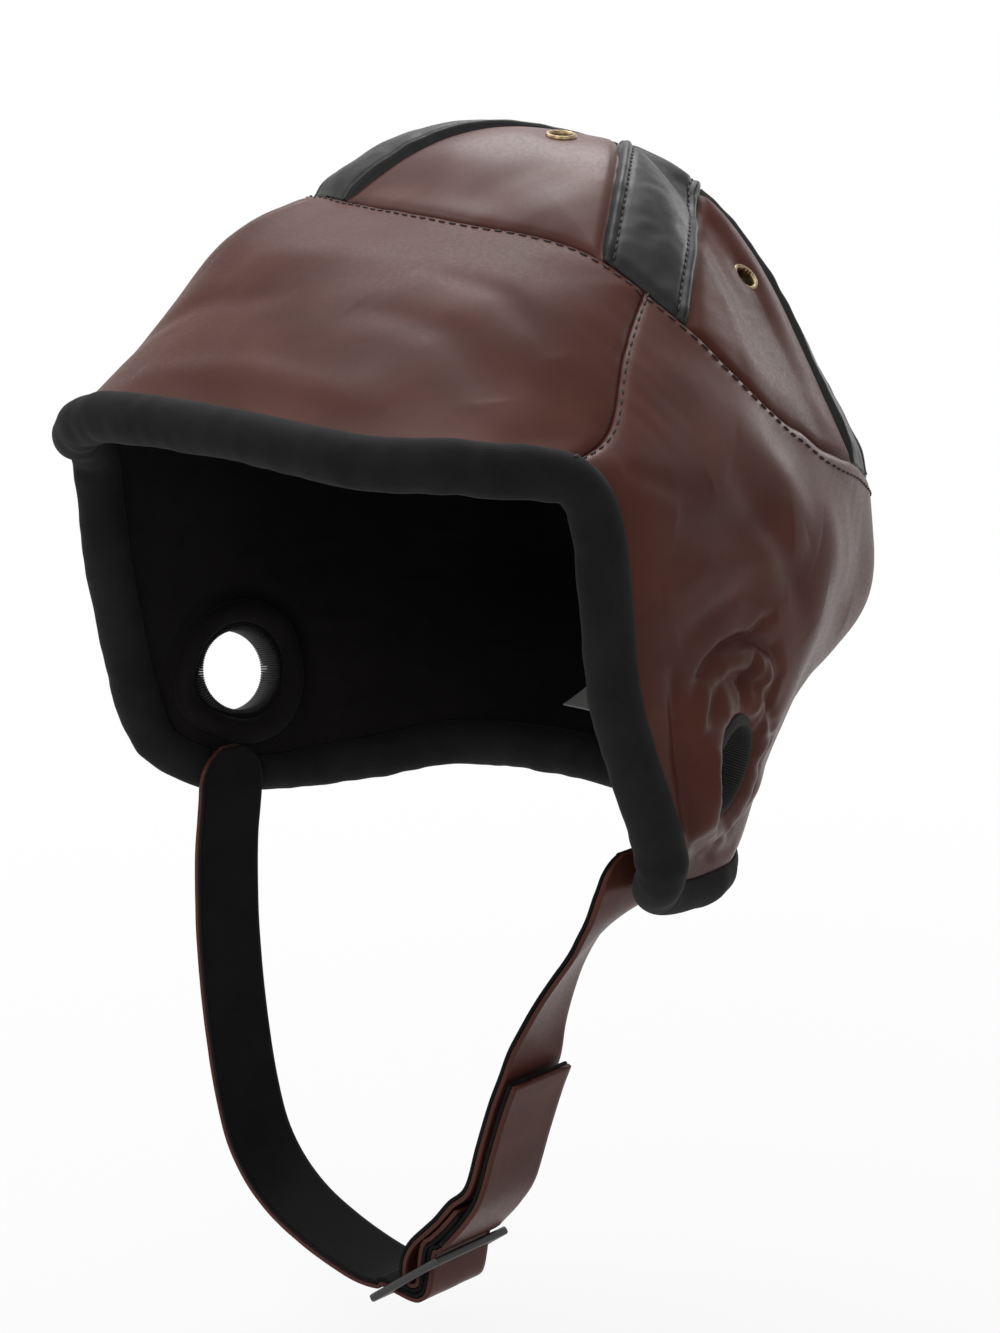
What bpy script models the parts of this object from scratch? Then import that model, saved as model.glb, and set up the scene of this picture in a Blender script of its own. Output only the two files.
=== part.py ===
import bmesh
import bpy
import numpy as np
from math import atan2, cos, hypot, pi, radians, sin, sqrt
from mathutils import Vector
from mathutils.bvhtree import BVHTree

# Cap as worn: brow toward -Y, wearer's left toward +X, chin strap hanging plumb along -Z.
# The world origin lies between the two ear holes, at their mean height and a little behind them.

# driving sizes of the cap, measured in the cap's own upright frame
half_width = 0.086
half_length = 0.098
crown_height = 0.141
crown_centre_back = 0.008
wear_tilt = radians(20.0)
crown_lean = 0.0165
crown_sway = 0.0072
sway_start_share = 0.34
sway_end_share = 0.76

# layers of the padded wall, outward from the shaping surface
shell_outer = 0.0013
shell_thickness = 0.0012
layer_gap = 0.0007
foam_thickness = 0.0034
lining_thickness = 0.0007
seam_gap = 0.0003
foam_seam_gap = 0.0007
seam_dip = 0.0005

# rolled binding round the face opening and the nape
binding_radius = 0.00575
binding_slot_clearance = 0.0005
binding_slot_floor = 0.0010
panel_end_clearance = 0.0005
binding_lead = 0.0054
binding_arc_steps = 11

# black crown strips
strip_width = 0.022
strip_front_angle = radians(43.0)
strip_back_angle = radians(70.0)
strip_centre_back = 0.027

# brass eyelets
eyelet_bore_radius = 0.00255
eyelet_wall = 0.00045
eyelet_flange_radius = 0.0039
eyelet_flange_height = 0.0007
eyelet_edge_distance = 0.0135
washer_radius = 0.0038
washer_thickness = 0.0004
metal_clearance = 0.0003
eyelet_sides = 14

# ear holes
ear_station_shares = {"left": 5.46, "right": 5.65}
ear_depth_shares = {"left": 0.76, "right": 0.775}
ear_bore_radius = 0.0100
ear_edging_wall = 0.0010
ear_edging_stand = 0.0014
ear_pad_inner = 0.0128
ear_pad_outer = 0.0186
ear_pad_thickness = 0.0030
ear_pad_gap = 0.0006
ear_sides = 24

# chin strap
strap_width = 0.020
strap_face_thickness = 0.0010
strap_back_thickness = 0.0008
strap_ply_gap = 0.0003
strap_inset = 0.01151
strap_pivot_forward = 0.0200
strap_pivot_drop = 0.0270
strap_drop = 0.1200
strap_tail_gap = 0.0004
strap_fold_samples = (1, 3)

# slider buckle
slider_length = 0.0280
slider_wall = 0.0024
slider_bar = 0.0024
slider_thickness = 0.0020
slider_side_clearance = 0.0005
slider_angle = radians(37.0)
slider_place_shares = (0.091, 0.905)
slider_bevel = 0.0005
ply_clearance = 0.0003

# care label
label_width = 0.024
label_height = 0.016
label_thickness = 0.0003
label_rise = 0.0100

# ring tables: side share of half_width, back share of half_length,
# up share of crown_height, lean share of crown_lean
seam_shares = (
    (0.000, -0.408, 0.775, 0.00), (0.419, -0.347, 0.776, 0.15),
    (0.698, -0.255, 0.742, 0.56), (0.814, -0.102, 0.676, 0.65),
    (0.825, 0.020, 0.646, 0.65), (0.818, 0.122, 0.631, 0.60),
    (0.812, 0.215, 0.612, 0.55), (0.790, 0.330, 0.606, 0.50),
    (0.722, 0.490, 0.598, 0.40), (0.575, 0.712, 0.572, 0.30),
    (0.310, 0.860, 0.520, 0.10), (0.000, 0.908, 0.490, 0.00),
)
upper_shares = (
    (0.000, -0.653, 0.650, 0.00), (0.442, -0.592, 0.655, 0.10),
    (0.733, -0.469, 0.640, 0.50), (0.884, -0.286, 0.569, 0.50),
    (0.930, -0.122, 0.488, 0.40), (0.948, 0.011, 0.398, 0.30),
    (0.943, 0.145, 0.370, 0.30), (0.856, 0.300, 0.341, 0.20),
    (0.722, 0.492, 0.327, 0.10), (0.593, 0.726, 0.334, 0.00),
    (0.326, 0.898, 0.348, 0.00), (0.000, 0.939, 0.363, 0.00),
)
lower_shares = (
    (0.000, -0.878, 0.490, 0.00), (0.465, -0.816, 0.494, 0.00),
    (0.756, -0.673, 0.480, 0.10), (0.930, -0.469, 0.427, 0.10),
    (0.965, -0.306, 0.299, 0.10), (0.960, -0.122, 0.142, 0.00),
    (0.896, 0.061, 0.035, 0.00), (0.801, 0.224, 0.071, 0.00),
    (0.682, 0.398, 0.100, 0.00), (0.515, 0.561, 0.142, 0.00),
    (0.279, 0.694, 0.142, 0.00), (0.000, 0.755, 0.157, 0.00),
)
edge_shares = (
    (0.000, -1.061, 0.338, 0.00), (0.477, -1.031, 0.334, 0.00),
    (0.721, -0.929, 0.331, -0.25), (0.905, -0.714, 0.316, -0.32),
    (0.960, -0.500, 0.057, 0.00), (0.994, -0.255, -0.150, 0.00),
    (0.885, -0.110, -0.215, 0.00), (0.814, 0.153, -0.177, 0.00),
    (0.663, 0.316, -0.128, 0.00), (0.477, 0.429, -0.074, 0.00),
    (0.244, 0.469, -0.054, 0.00), (0.000, 0.480, -0.046, 0.00),
)
strap_half_span = half_width * edge_shares[6][0] - strap_inset
# how fast the crown falls away toward each station, left side then right side
fall_left_shares = (2.15, 2.0, 1.85, 1.7, 1.6, 1.64, 1.75, 2.0, 1.95, 1.9, 1.85, 1.8)
fall_right_shares = (2.15, 2.9, 3.6, 3.3, 2.5, 2.5, 2.5, 2.4, 2.1, 2.0, 1.9, 1.8)

# wall columns between the strip corners: station at the seam, station at the edge
front_column_shares = ((0.0, 0.0), (0.55, 0.60))
strip_front_edge_shares = (1.15, 1.95, 2.68, 2.93, 3.22)
side_column_shares = ((2.75, 3.85), (3.65, 4.35), (4.55, 4.90), (5.4, 5.45), (6.2, 6.00), (6.9, 6.60))
strip_back_edge_shares = (7.2, 7.7, 8.1, 8.5, 8.9)
back_column_shares = ((9.2, 9.6), (10.1, 10.3), (11.0, 11.0))
wall_row_shares = (0.0, 0.11, 0.24, 0.38, 0.52, 0.66, 0.79)
crown_row_shares = (0.0, 0.16, 0.34, 0.52, 0.69, 0.85, 1.0)
strip_line_shares = (-1.0, -0.5, 0.0, 0.5, 1.0)

# strap routes: across share of strap_half_span, down share of strap_drop from the hinge line
right_route_shares = (
    (-1.000, -0.083), (-1.000, 0.000), (-1.012, 0.060), (-1.027, 0.118), (-1.034, 0.180), (-1.036, 0.250),
    (-1.033, 0.330), (-1.015, 0.446), (-0.985, 0.560), (-0.945, 0.665), (-0.885, 0.760), (-0.790, 0.830),
    (-0.660, 0.882), (-0.500, 0.918), (-0.340, 0.942), (-0.200, 0.955),
)
tail_route_shares = ((0.360, 0.742), (0.431, 0.680), (0.492, 0.579), (0.548, 0.490), (0.600, 0.420))
left_route_shares = (
    (0.590, 0.335), (0.678, 0.230), (0.770, 0.150), (0.865, 0.088), (0.950, 0.035), (0.993, -0.015),
    (1.000, -0.050), (1.000, -0.083),
)

station_count = len(seam_shares)
shell_inner = shell_outer - shell_thickness
foam_outer = shell_inner - layer_gap
foam_inner = foam_outer - foam_thickness
lining_outer = foam_inner - layer_gap
lining_inner = lining_outer - lining_thickness
stack_middle = (shell_outer + lining_inner) / 2
stack_half = (shell_outer - lining_inner) / 2
step = crown_height / 2000


def clear_scene():
    for item in list(bpy.data.objects):
        bpy.data.objects.remove(item, do_unlink=True)


def finish(name, colour, roughness, metallic=0.0):
    made = bpy.data.materials.new(name)
    made.use_nodes = True
    shader = made.node_tree.nodes["Principled BSDF"]
    shader.inputs["Base Color"].default_value = (*colour, 1.0)
    shader.inputs["Roughness"].default_value = roughness
    shader.inputs["Metallic"].default_value = metallic
    return made


def closed_ring(shares):
    left = [Vector((side * half_width, back * half_length, up * crown_height - lean * crown_lean))
            for side, back, up, lean in shares]
    right = [Vector((-side * half_width, back * half_length, up * crown_height + lean * crown_lean))
             for side, back, up, lean in reversed(shares[1:-1])]
    return left + right


def smooth_between(a, b, c, d, f):
    return 0.5 * (2 * b + (c - a) * f + (2 * a - 5 * b + 4 * c - d) * f * f
                  + (3 * b - a - 3 * c + d) * f ** 3)


def along(values, u):
    count = len(values)
    first = int(u // 1)
    a, b, c, d = (values[(first + k) % count] for k in (-1, 0, 1, 2))
    return smooth_between(a, b, c, d, u - first)


rings = [closed_ring(shares) for shares in (seam_shares, upper_shares, lower_shares, edge_shares)]
falls = list(fall_left_shares) + list(reversed(fall_right_shares[1:-1]))
ring_length = len(rings[0])
crown_centre = Vector((0, crown_centre_back, crown_height))


def worn(p):
    # cap frame to the worn posture: the crown sways to one side and the cap tips back
    share = (p.z / crown_height - sway_start_share) / (sway_end_share - sway_start_share)
    share = min(max(share, 0), 1)
    x = p.x - crown_sway * share * share * (3 - 2 * share)
    y = p.y * cos(wear_tilt) + p.z * sin(wear_tilt)
    z = p.z * cos(wear_tilt) - p.y * sin(wear_tilt)
    return Vector((x, y, z))


def wall_at(u, t):
    knots = [along(ring, u) for ring in rings]
    knots = [2 * knots[0] - knots[1], *knots, 2 * knots[-1] - knots[-2]]
    place = min(max(t, 0), 1) * 3
    first = min(int(place), 2)
    return worn(smooth_between(*knots[first:first + 4], place - first))


def seam_angle(p):
    return atan2(p.x - crown_centre.x, crown_centre.y - p.y) % (2 * pi)


seam_stations = np.linspace(0, ring_length, ring_length * 40 + 1)
seam_points = [along(rings[0], u) for u in seam_stations]
seam_angles = np.array([seam_angle(p) for p in seam_points])
seam_angles[-1] = 2 * pi


def station_at_angle(angle):
    return float(np.interp(angle % (2 * pi), seam_angles, seam_stations))


def crown_share(x, y):
    u = station_at_angle(seam_angle(Vector((x, y, 0))))
    rim = along(rings[0], u)
    reach = hypot(rim.x - crown_centre.x, rim.y - crown_centre.y)
    return hypot(x - crown_centre.x, y - crown_centre.y) / reach, rim, along(falls, u)


def crown_at(x, y):
    share, rim, fall = crown_share(x, y)
    return worn(Vector((x, y, crown_height + (rim.z - crown_height) * share ** fall)))


def wall_normal(u, t):
    low, high = max(t - 0.01, 0), min(t + 0.01, 1)
    across = wall_at(u + 0.02, t) - wall_at(u - 0.02, t)
    down = wall_at(u, high) - wall_at(u, low)
    return down.cross(across).normalized()


def crown_normal(x, y):
    across = crown_at(x + step, y) - crown_at(x - step, y)
    back = crown_at(x, y + step) - crown_at(x, y - step)
    return across.cross(back).normalized()


def seam_normal(u):
    rim = along(rings[0], u)
    inner = crown_centre.lerp(rim, 0.97)
    return (crown_normal(inner.x, inner.y) + wall_normal(u, 0.0)).normalized()


def edge_frame(u):
    # point on the lower edge, outward normal and the way into the wall
    here = wall_at(u, 1.0)
    outward = wall_normal(u, 1.0)
    run = (wall_at(u + 0.05, 1.0) - wall_at(u - 0.05, 1.0)).normalized()
    inward = run.cross(outward).normalized()
    if inward.dot(wall_at(u, 0.95) - here) < 0:
        inward = -inward
    return here, outward, inward, run


class Sheet:
    # surface points with their outward normals, joined into one open sheet of faces
    def __init__(self):
        self.points, self.normals, self.faces, self.index = [], [], [], {}

    def corner(self, point, normal):
        key = tuple(round(c / (step / 100)) for c in point)
        if key not in self.index:
            self.index[key] = len(self.points)
            self.points.append(point)
            self.normals.append(normal)
        return self.index[key]

    def grid(self, rows):
        marks = [[self.corner(*spot) for spot in row] for row in rows]
        for near, far in zip(marks, marks[1:]):
            for k in range(len(near) - 1):
                # every quad is split along the same diagonal, so that stacked layers stay parallel
                for face in ([near[k], near[k + 1], far[k + 1]], [near[k], far[k + 1], far[k]]):
                    if len(set(face)) == 3:
                        self.faces.append(self.outward(face))

    def outward(self, face):
        a, b, c = (self.points[m] for m in face[:3])
        return face if (b - a).cross(c - b).dot(self.normals[face[1]]) > 0 else face[::-1]

    def rim(self):
        used = {}
        for face in self.faces:
            for a, b in zip(face, face[1:] + face[:1]):
                used[(a, b)] = face
        return {pair: face for pair, face in used.items() if (pair[1], pair[0]) not in used}

    def drawn_in(self, distance, rim):
        # moves each rim point into the sheet, so that neighbouring pieces keep a seam gap
        pulls = {}
        for (a, b), face in rim.items():
            run = (self.points[b] - self.points[a]).normalized()
            centre = sum((self.points[m] for m in face), Vector()) / len(face)
            inward = centre - self.points[a]
            inward = (inward - run * inward.dot(run)).normalized()
            for m in (a, b):
                pulls.setdefault(m, []).append(inward)
        moved = list(self.points)
        for m, ways in pulls.items():
            total = sum(ways, Vector())
            grow = max(total.dot(ways[0]), 0.4)
            moved[m] = self.points[m] + total * (distance / grow)
        return moved

    def solid(self, name, outer, inner, material, dip=0.0, gap=seam_gap):
        rim = self.rim()
        points = self.drawn_in(gap / 2, rim)
        edge = {m for pair in rim for m in pair}
        mesh = bmesh.new()
        top = [mesh.verts.new(p + n * (outer - (dip if m in edge else 0)))
               for m, (p, n) in enumerate(zip(points, self.normals))]
        base = [mesh.verts.new(p + n * inner) for p, n in zip(points, self.normals)]
        for face in self.faces:
            mesh.faces.new([top[m] for m in face])
            mesh.faces.new([base[m] for m in reversed(face)])
        for a, b in rim:
            mesh.faces.new([top[b], top[a], base[a]])
            mesh.faces.new([top[b], base[a], base[b]])
        return place(name, mesh, material)


def place(name, mesh, material, origin=None, smooth=True):
    bmesh.ops.recalc_face_normals(mesh, faces=mesh.faces)
    for face in mesh.faces:
        face.smooth = smooth
    data = bpy.data.meshes.new(name)
    if origin is not None:
        bmesh.ops.translate(mesh, verts=mesh.verts, vec=-origin)
    mesh.to_mesh(data)
    mesh.free()
    data.materials.append(material)
    item = bpy.data.objects.new(name, data)
    bpy.context.scene.collection.objects.link(item)
    if origin is not None:
        item.location = origin
    return item


def turned(name, profile, centre, axis, sides, material):
    # closed profile of (radius, height) turned about an axis
    rise = axis.normalized()
    side = rise.orthogonal().normalized()
    other = rise.cross(side)
    mesh = bmesh.new()
    loops = []
    for k in range(sides):
        angle = 2 * pi * k / sides
        way = side * cos(angle) + other * sin(angle)
        loops.append([mesh.verts.new(centre + way * r + rise * h) for r, h in profile])
    for k, loop in enumerate(loops):
        nxt = loops[(k + 1) % sides]
        for m in range(len(profile)):
            n = (m + 1) % len(profile)
            mesh.faces.new([loop[m], nxt[m], nxt[n], loop[n]])
    return place(name, mesh, material)


def bored(item, centre, axis, radius, sides):
    rise = axis.normalized()
    side = rise.orthogonal().normalized()
    other = rise.cross(side)
    reach = half_width / 6
    mesh = bmesh.new()
    ends = []
    for level in (-reach, reach):
        ends.append([mesh.verts.new(centre + rise * level + (side * cos(a) + other * sin(a)) * radius)
                     for a in (2 * pi * k / sides for k in range(sides))])
    mesh.faces.new(list(reversed(ends[0])))
    mesh.faces.new(ends[1])
    for k in range(sides):
        n = (k + 1) % sides
        mesh.faces.new([ends[0][k], ends[0][n], ends[1][n], ends[1][k]])
    cutter = place(item.name + "_cutter", mesh, item.data.materials[0])
    cutter.hide_render = True
    cutter.display_type = "WIRE"
    # curved quads are split first, so that the exact cut meets only flat faces
    split = item.modifiers.new("split", "TRIANGULATE")
    split.min_vertices = 4
    cut = item.modifiers.new("bore", "BOOLEAN")
    cut.operation = "DIFFERENCE"
    cut.solver = "EXACT"
    cut.object = cutter
    graph = bpy.context.evaluated_depsgraph_get()
    result = bpy.data.meshes.new_from_object(item.evaluated_get(graph))
    item.modifiers.clear()
    item.data = result
    bpy.data.objects.remove(cutter, do_unlink=True)


# crown layout in plan: strips that run out from where they cross, behind the crown centre
half_strip = strip_width / 2
strip_centre = Vector((0, strip_centre_back, crown_height))
ways = {
    "front_left": Vector((sin(strip_front_angle), -cos(strip_front_angle), 0)),
    "back_left": Vector((sin(strip_back_angle), cos(strip_back_angle), 0)),
    "back_right": Vector((-sin(strip_back_angle), cos(strip_back_angle), 0)),
    "front_right": Vector((-sin(strip_front_angle), -cos(strip_front_angle), 0)),
}
turn_order = ["front_left", "back_left", "back_right", "front_right"]


def crossing_corner(before, after):
    # inner corner of the panel between two strips, in plan
    a, b = ways[before], ways[after]
    middle = (a + b).normalized()
    return strip_centre + middle * (half_strip / abs(a.cross(middle).z))


def rim_plan(way, offset):
    # where the line beside a strip's middle meets the seam ring, and its station
    aside = Vector((-way.y, way.x, 0)) * offset
    near, far = 0.0, half_length * 2
    for _ in range(50):
        middle = (near + far) / 2
        spot = strip_centre + aside + way * middle
        if crown_share(spot.x, spot.y)[0] < 1:
            near = middle
        else:
            far = middle
    spot = strip_centre + aside + way * near
    return station_at_angle(seam_angle(spot))


strip_stations = {name: [rim_plan(way, share * half_strip) for share in strip_line_shares]
                  for name, way in ways.items()}


def wall_columns():
    left = list(front_column_shares)
    left += list(zip(strip_stations["front_left"], strip_front_edge_shares))
    left += list(side_column_shares)
    left += list(zip(strip_stations["back_left"], strip_back_edge_shares))
    left += list(back_column_shares)
    right = [(station, ring_length - edge) for station, edge in
             zip(strip_stations["back_right"], reversed(strip_back_edge_shares))]
    right_front = [(station, ring_length - edge) for station, edge in
                   zip(strip_stations["front_right"], reversed(strip_front_edge_shares))]
    mirrored = [(ring_length - top, ring_length - edge) for top, edge in reversed(side_column_shares)]
    last = [(ring_length - top, ring_length - edge) for top, edge in reversed(back_column_shares[:-1])]
    first = [(ring_length - top, ring_length - edge) for top, edge in reversed(front_column_shares[1:])]
    return left + last + right + mirrored + right_front + first


columns = wall_columns()
front_count = len(front_column_shares)
strip_lines = len(strip_line_shares)
left_seam = front_count + strip_lines // 2
back_seam = front_count + 2 * strip_lines + len(side_column_shares) + len(back_column_shares) - 1
right_seam = len(columns) - left_seam
tip_left = front_count + strip_lines + len(side_column_shares) - 2
tip_right = len(columns) - tip_left


def crown_spot(plan, station=None):
    if station is not None:
        rim = along(rings[0], station)
        return worn(rim), seam_normal(station)
    return crown_at(plan.x, plan.y), crown_normal(plan.x, plan.y)


def crown_patch(starts, stations):
    # rows from the start points near the crossing out to the seam ring
    ends = [along(rings[0], u) for u in stations]
    rows = []
    for share in crown_row_shares:
        if share == 1.0:
            rows.append([crown_spot(None, u) for u in stations])
        else:
            rows.append([crown_spot(a.lerp(Vector((b.x, b.y, a.z)), share)) for a, b in zip(starts, ends)])
    return rows


def wedge_stations(index):
    order = [column[0] for column in columns]
    spans = {
        "left": (front_count + strip_lines - 1, front_count + strip_lines + len(side_column_shares)),
        "back": (back_seam - len(back_column_shares), back_seam + len(back_column_shares)),
        "right": (right_seam - strip_lines // 2 - len(side_column_shares) - 1, right_seam - strip_lines // 2),
        "front": (right_seam + strip_lines // 2, len(columns) + front_count),
    }
    first, last = spans[index]
    return [order[k % len(order)] + (ring_length if k >= len(order) else 0) for k in range(first, last + 1)]


wedges = {
    "front": ("front_right", "front_left"),
    "left": ("front_left", "back_left"),
    "back": ("back_left", "back_right"),
    "right": ("back_right", "front_right"),
}
corners = {name: crossing_corner(*pair) for name, pair in wedges.items()}
strip_sides = {
    "front_left": ("front", "left"), "back_left": ("left", "back"),
    "back_right": ("back", "right"), "front_right": ("right", "front"),
}


def wedge_rows(name):
    stations = wedge_stations(name)
    return crown_patch([corners[name]] * len(stations), stations)


def arm_rows(name):
    first, last = (corners[side] for side in strip_sides[name])
    starts = [first.lerp(last, (share + 1) / 2) for share in strip_line_shares]
    return crown_patch(starts, strip_stations[name])


def crossing_rows():
    # the square where the strips cross, laid so that its edges share the arms' points
    front, left, back, right = (corners[n] for n in ("front", "left", "back", "right"))
    shares = [(share + 1) / 2 for share in strip_line_shares]
    return [[crown_spot(front.lerp(right, f).lerp(left.lerp(back, f), g)) for g in shares] for f in shares]


def wall_rows(first, last):
    picked = [columns[k % len(columns)] for k in range(first, last + 1)]
    rows = []
    for share in wall_row_shares:
        row = []
        for top, edge in picked:
            u = top + (edge - top) * share
            row.append((wall_at(u, share), wall_normal(u, share) if share else seam_normal(top)))
        rows.append(row)
    for reach in (binding_lead, binding_slot_floor + panel_end_clearance - seam_gap / 2):
        row = []
        for _, edge in picked:
            here, outward, inward, _ = edge_frame(edge)
            row.append((here + inward * reach, outward))
        rows.append(row)
    return rows


def sheet_of(*patches):
    sheet = Sheet()
    for rows in patches:
        sheet.grid(rows)
    return sheet


leather = finish("brown_faux_leather", (0.085, 0.045, 0.036), 0.38)
black_leather = finish("black_faux_leather", (0.030, 0.029, 0.029), 0.36)
binding_cloth = finish("black_binding_fabric", (0.024, 0.024, 0.024), 0.85)
lining_cloth = finish("black_lining_fabric", (0.008, 0.007, 0.008), 0.95)
foam = finish("charcoal_foam", (0.05, 0.05, 0.05), 1.0)
brass = finish("antique_brass", (0.42, 0.28, 0.11), 0.35, 1.0)
edging_thread = finish("black_edging_thread", (0.02, 0.018, 0.018), 0.8)
slider_plastic = finish("black_slider_plastic", (0.014, 0.014, 0.014), 0.42)
label_satin = finish("grey_white_satin", (0.62, 0.62, 0.62), 0.5)


def eyelet_plan(name):
    way = (corners[name] - strip_centre).normalized()
    slant = abs(ways[wedges[name][0]].cross(way).z)
    return corners[name] + way * (eyelet_edge_distance / slant)


eyelet_spots = {name: crown_spot(eyelet_plan(name)) for name in wedges}
eyelet_hole = eyelet_bore_radius + eyelet_wall + metal_clearance


def build_crown():
    patches = {name: wedge_rows(name) for name in wedges}
    arms = {name: arm_rows(name) for name in ways}
    middle = crossing_rows()
    for name, rows in patches.items():
        panel = sheet_of(rows).solid(f"crown_{name}_panel", shell_outer, shell_inner, leather, seam_dip)
        bored(panel, *eyelet_spots[name], eyelet_hole, eyelet_sides)
    sheet_of(arms["front_left"], middle, arms["back_right"]).solid(
        "crown_strip_long", shell_outer, shell_inner, black_leather)
    for name in ("front_right", "back_left"):
        sheet_of(arms[name]).solid(f"crown_strip_{name}", shell_outer, shell_inner, black_leather)
    whole = sheet_of(*patches.values(), *arms.values(), middle)
    padding = whole.solid("crown_foam", foam_outer, foam_inner, foam, gap=foam_seam_gap)
    lining = whole.solid("crown_lining", lining_outer, lining_inner, lining_cloth)
    for spot in eyelet_spots.values():
        bored(padding, *spot, eyelet_hole, eyelet_sides)
        bored(lining, *spot, eyelet_hole, eyelet_sides)


def ear_place(side):
    u = ear_station_shares[side]
    return u if side == "left" else ring_length - u, ear_depth_shares[side]


def ear_spot(side):
    u, t = ear_place(side)
    return wall_at(u, t), wall_normal(u, t)


def build_wall():
    spans = {"forehead": (right_seam, len(columns) + left_seam),
             "side_left": (left_seam, back_seam), "side_right": (back_seam, right_seam)}
    hole = ear_bore_radius + ear_edging_wall + metal_clearance
    for name, (first, last) in spans.items():
        sheet = sheet_of(wall_rows(first, last))
        layers = [sheet.solid(f"{name}_panel", shell_outer, shell_inner, leather, seam_dip),
                  sheet.solid(f"{name}_foam", foam_outer, foam_inner, foam, gap=foam_seam_gap),
                  sheet.solid(f"{name}_lining", lining_outer, lining_inner, lining_cloth)]
        if name != "forehead":
            for layer in layers:
                bored(layer, *ear_spot(name.split("_")[1]), hole, ear_sides)


def binding_profile():
    half_slot = stack_half + binding_slot_clearance
    mouth = sqrt(binding_radius ** 2 - half_slot ** 2)
    start = atan2(half_slot, mouth)
    sweep = 2 * pi - 2 * start
    arc = [(sin(start + sweep * k / binding_arc_steps) * binding_radius,
            cos(start + sweep * k / binding_arc_steps) * binding_radius) for k in range(binding_arc_steps + 1)]
    return arc + [(-half_slot, binding_slot_floor), (half_slot, binding_slot_floor)]


def build_binding(name, first, last):
    profile = binding_profile()
    mesh = bmesh.new()
    sections = []
    for k in range(first, last + 1):
        here, outward, inward, run = edge_frame(columns[k % len(columns)][1])
        nudge = run * (seam_gap / 2) * ((k == first) - (k == last))
        centre = here + outward * stack_middle + nudge
        sections.append([mesh.verts.new(centre + outward * a + inward * b) for a, b in profile])
    for near, far in zip(sections, sections[1:]):
        for m in range(len(profile)):
            n = (m + 1) % len(profile)
            # the slot is split along the same diagonals as the panel edge inside it
            quad = [near[m], far[m], far[n], near[n]] if n else [far[m], far[n], near[n], near[m]]
            mesh.faces.new([quad[0], quad[1], quad[2]])
            mesh.faces.new([quad[0], quad[2], quad[3]])
    mesh.faces.new(sections[0])
    mesh.faces.new(list(reversed(sections[-1])))
    place(name, mesh, binding_cloth)


def layer_faces(name):
    # the small slack keeps a ray from slipping between two faces
    layer = bpy.data.objects[name].data
    corners, faces = [v.co for v in layer.vertices], [p.vertices[:] for p in layer.polygons]
    return BVHTree.FromPolygons(corners, faces, epsilon=seam_gap / 100)


def ring_seat(name, centre, axis, inner, outer, come_from):
    # height along the axis where a flat ring first meets a curved layer, from outside (1) or from inside (-1)
    layer = layer_faces(name)
    across = axis.orthogonal().normalized()
    other = axis.cross(across)
    heights = []
    for radius in ((inner + outer) / 2, outer):
        for k in range(eyelet_sides):
            angle = 2 * pi * k / eyelet_sides
            spot = centre + (across * cos(angle) + other * sin(angle)) * radius
            met = layer.ray_cast(spot + axis * (eyelet_edge_distance * come_from), -axis * come_from)[0]
            heights.append((met - centre).dot(axis) * come_from)
    return max(heights) * come_from


def build_eyelets():
    outer = eyelet_bore_radius + eyelet_wall
    hole = outer + metal_clearance
    rim = washer_radius + metal_clearance
    for name, (centre, axis) in eyelet_spots.items():
        top = ring_seat(f"crown_{name}_panel", centre, axis, hole, eyelet_flange_radius, 1) + metal_clearance
        seat = ring_seat("crown_lining", centre, axis, hole, rim, -1) - metal_clearance
        foot = seat - washer_thickness - metal_clearance
        body = [
            (eyelet_bore_radius, foot - eyelet_wall), (outer + eyelet_wall, foot - eyelet_wall),
            (outer + eyelet_wall, foot), (outer, foot), (outer, top), (eyelet_flange_radius, top),
            (eyelet_flange_radius, top + eyelet_flange_height / 3), (outer, top + eyelet_flange_height),
            (eyelet_bore_radius + eyelet_wall / 2, top + eyelet_flange_height), (eyelet_bore_radius, top),
        ]
        washer = [(hole, seat - washer_thickness), (rim, seat - washer_thickness), (rim, seat), (hole, seat)]
        turned(f"eyelet_{name}", body, centre, axis, eyelet_sides, brass)
        turned(f"eyelet_washer_{name}", washer, centre, axis, eyelet_sides, brass)


def wall_under(centre, across, along_way, a, b, side):
    # station and depth of the wall point that lies at (a, b) beside the ear hole
    u, t = ear_place(side)
    for _ in range(12):
        here = wall_at(u, t) - centre
        miss = Vector((a - here.dot(across), b - here.dot(along_way)))
        du = (wall_at(u + 0.01, t) - wall_at(u, t)) / 0.01
        dt = (wall_at(u, t + 0.01) - wall_at(u, t)) / 0.01
        m = np.array([[du.dot(across), dt.dot(across)], [du.dot(along_way), dt.dot(along_way)]])
        turn, fall = np.linalg.solve(m, np.array(miss))
        u, t = u + float(turn), t + float(fall)
    return u, t


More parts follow.
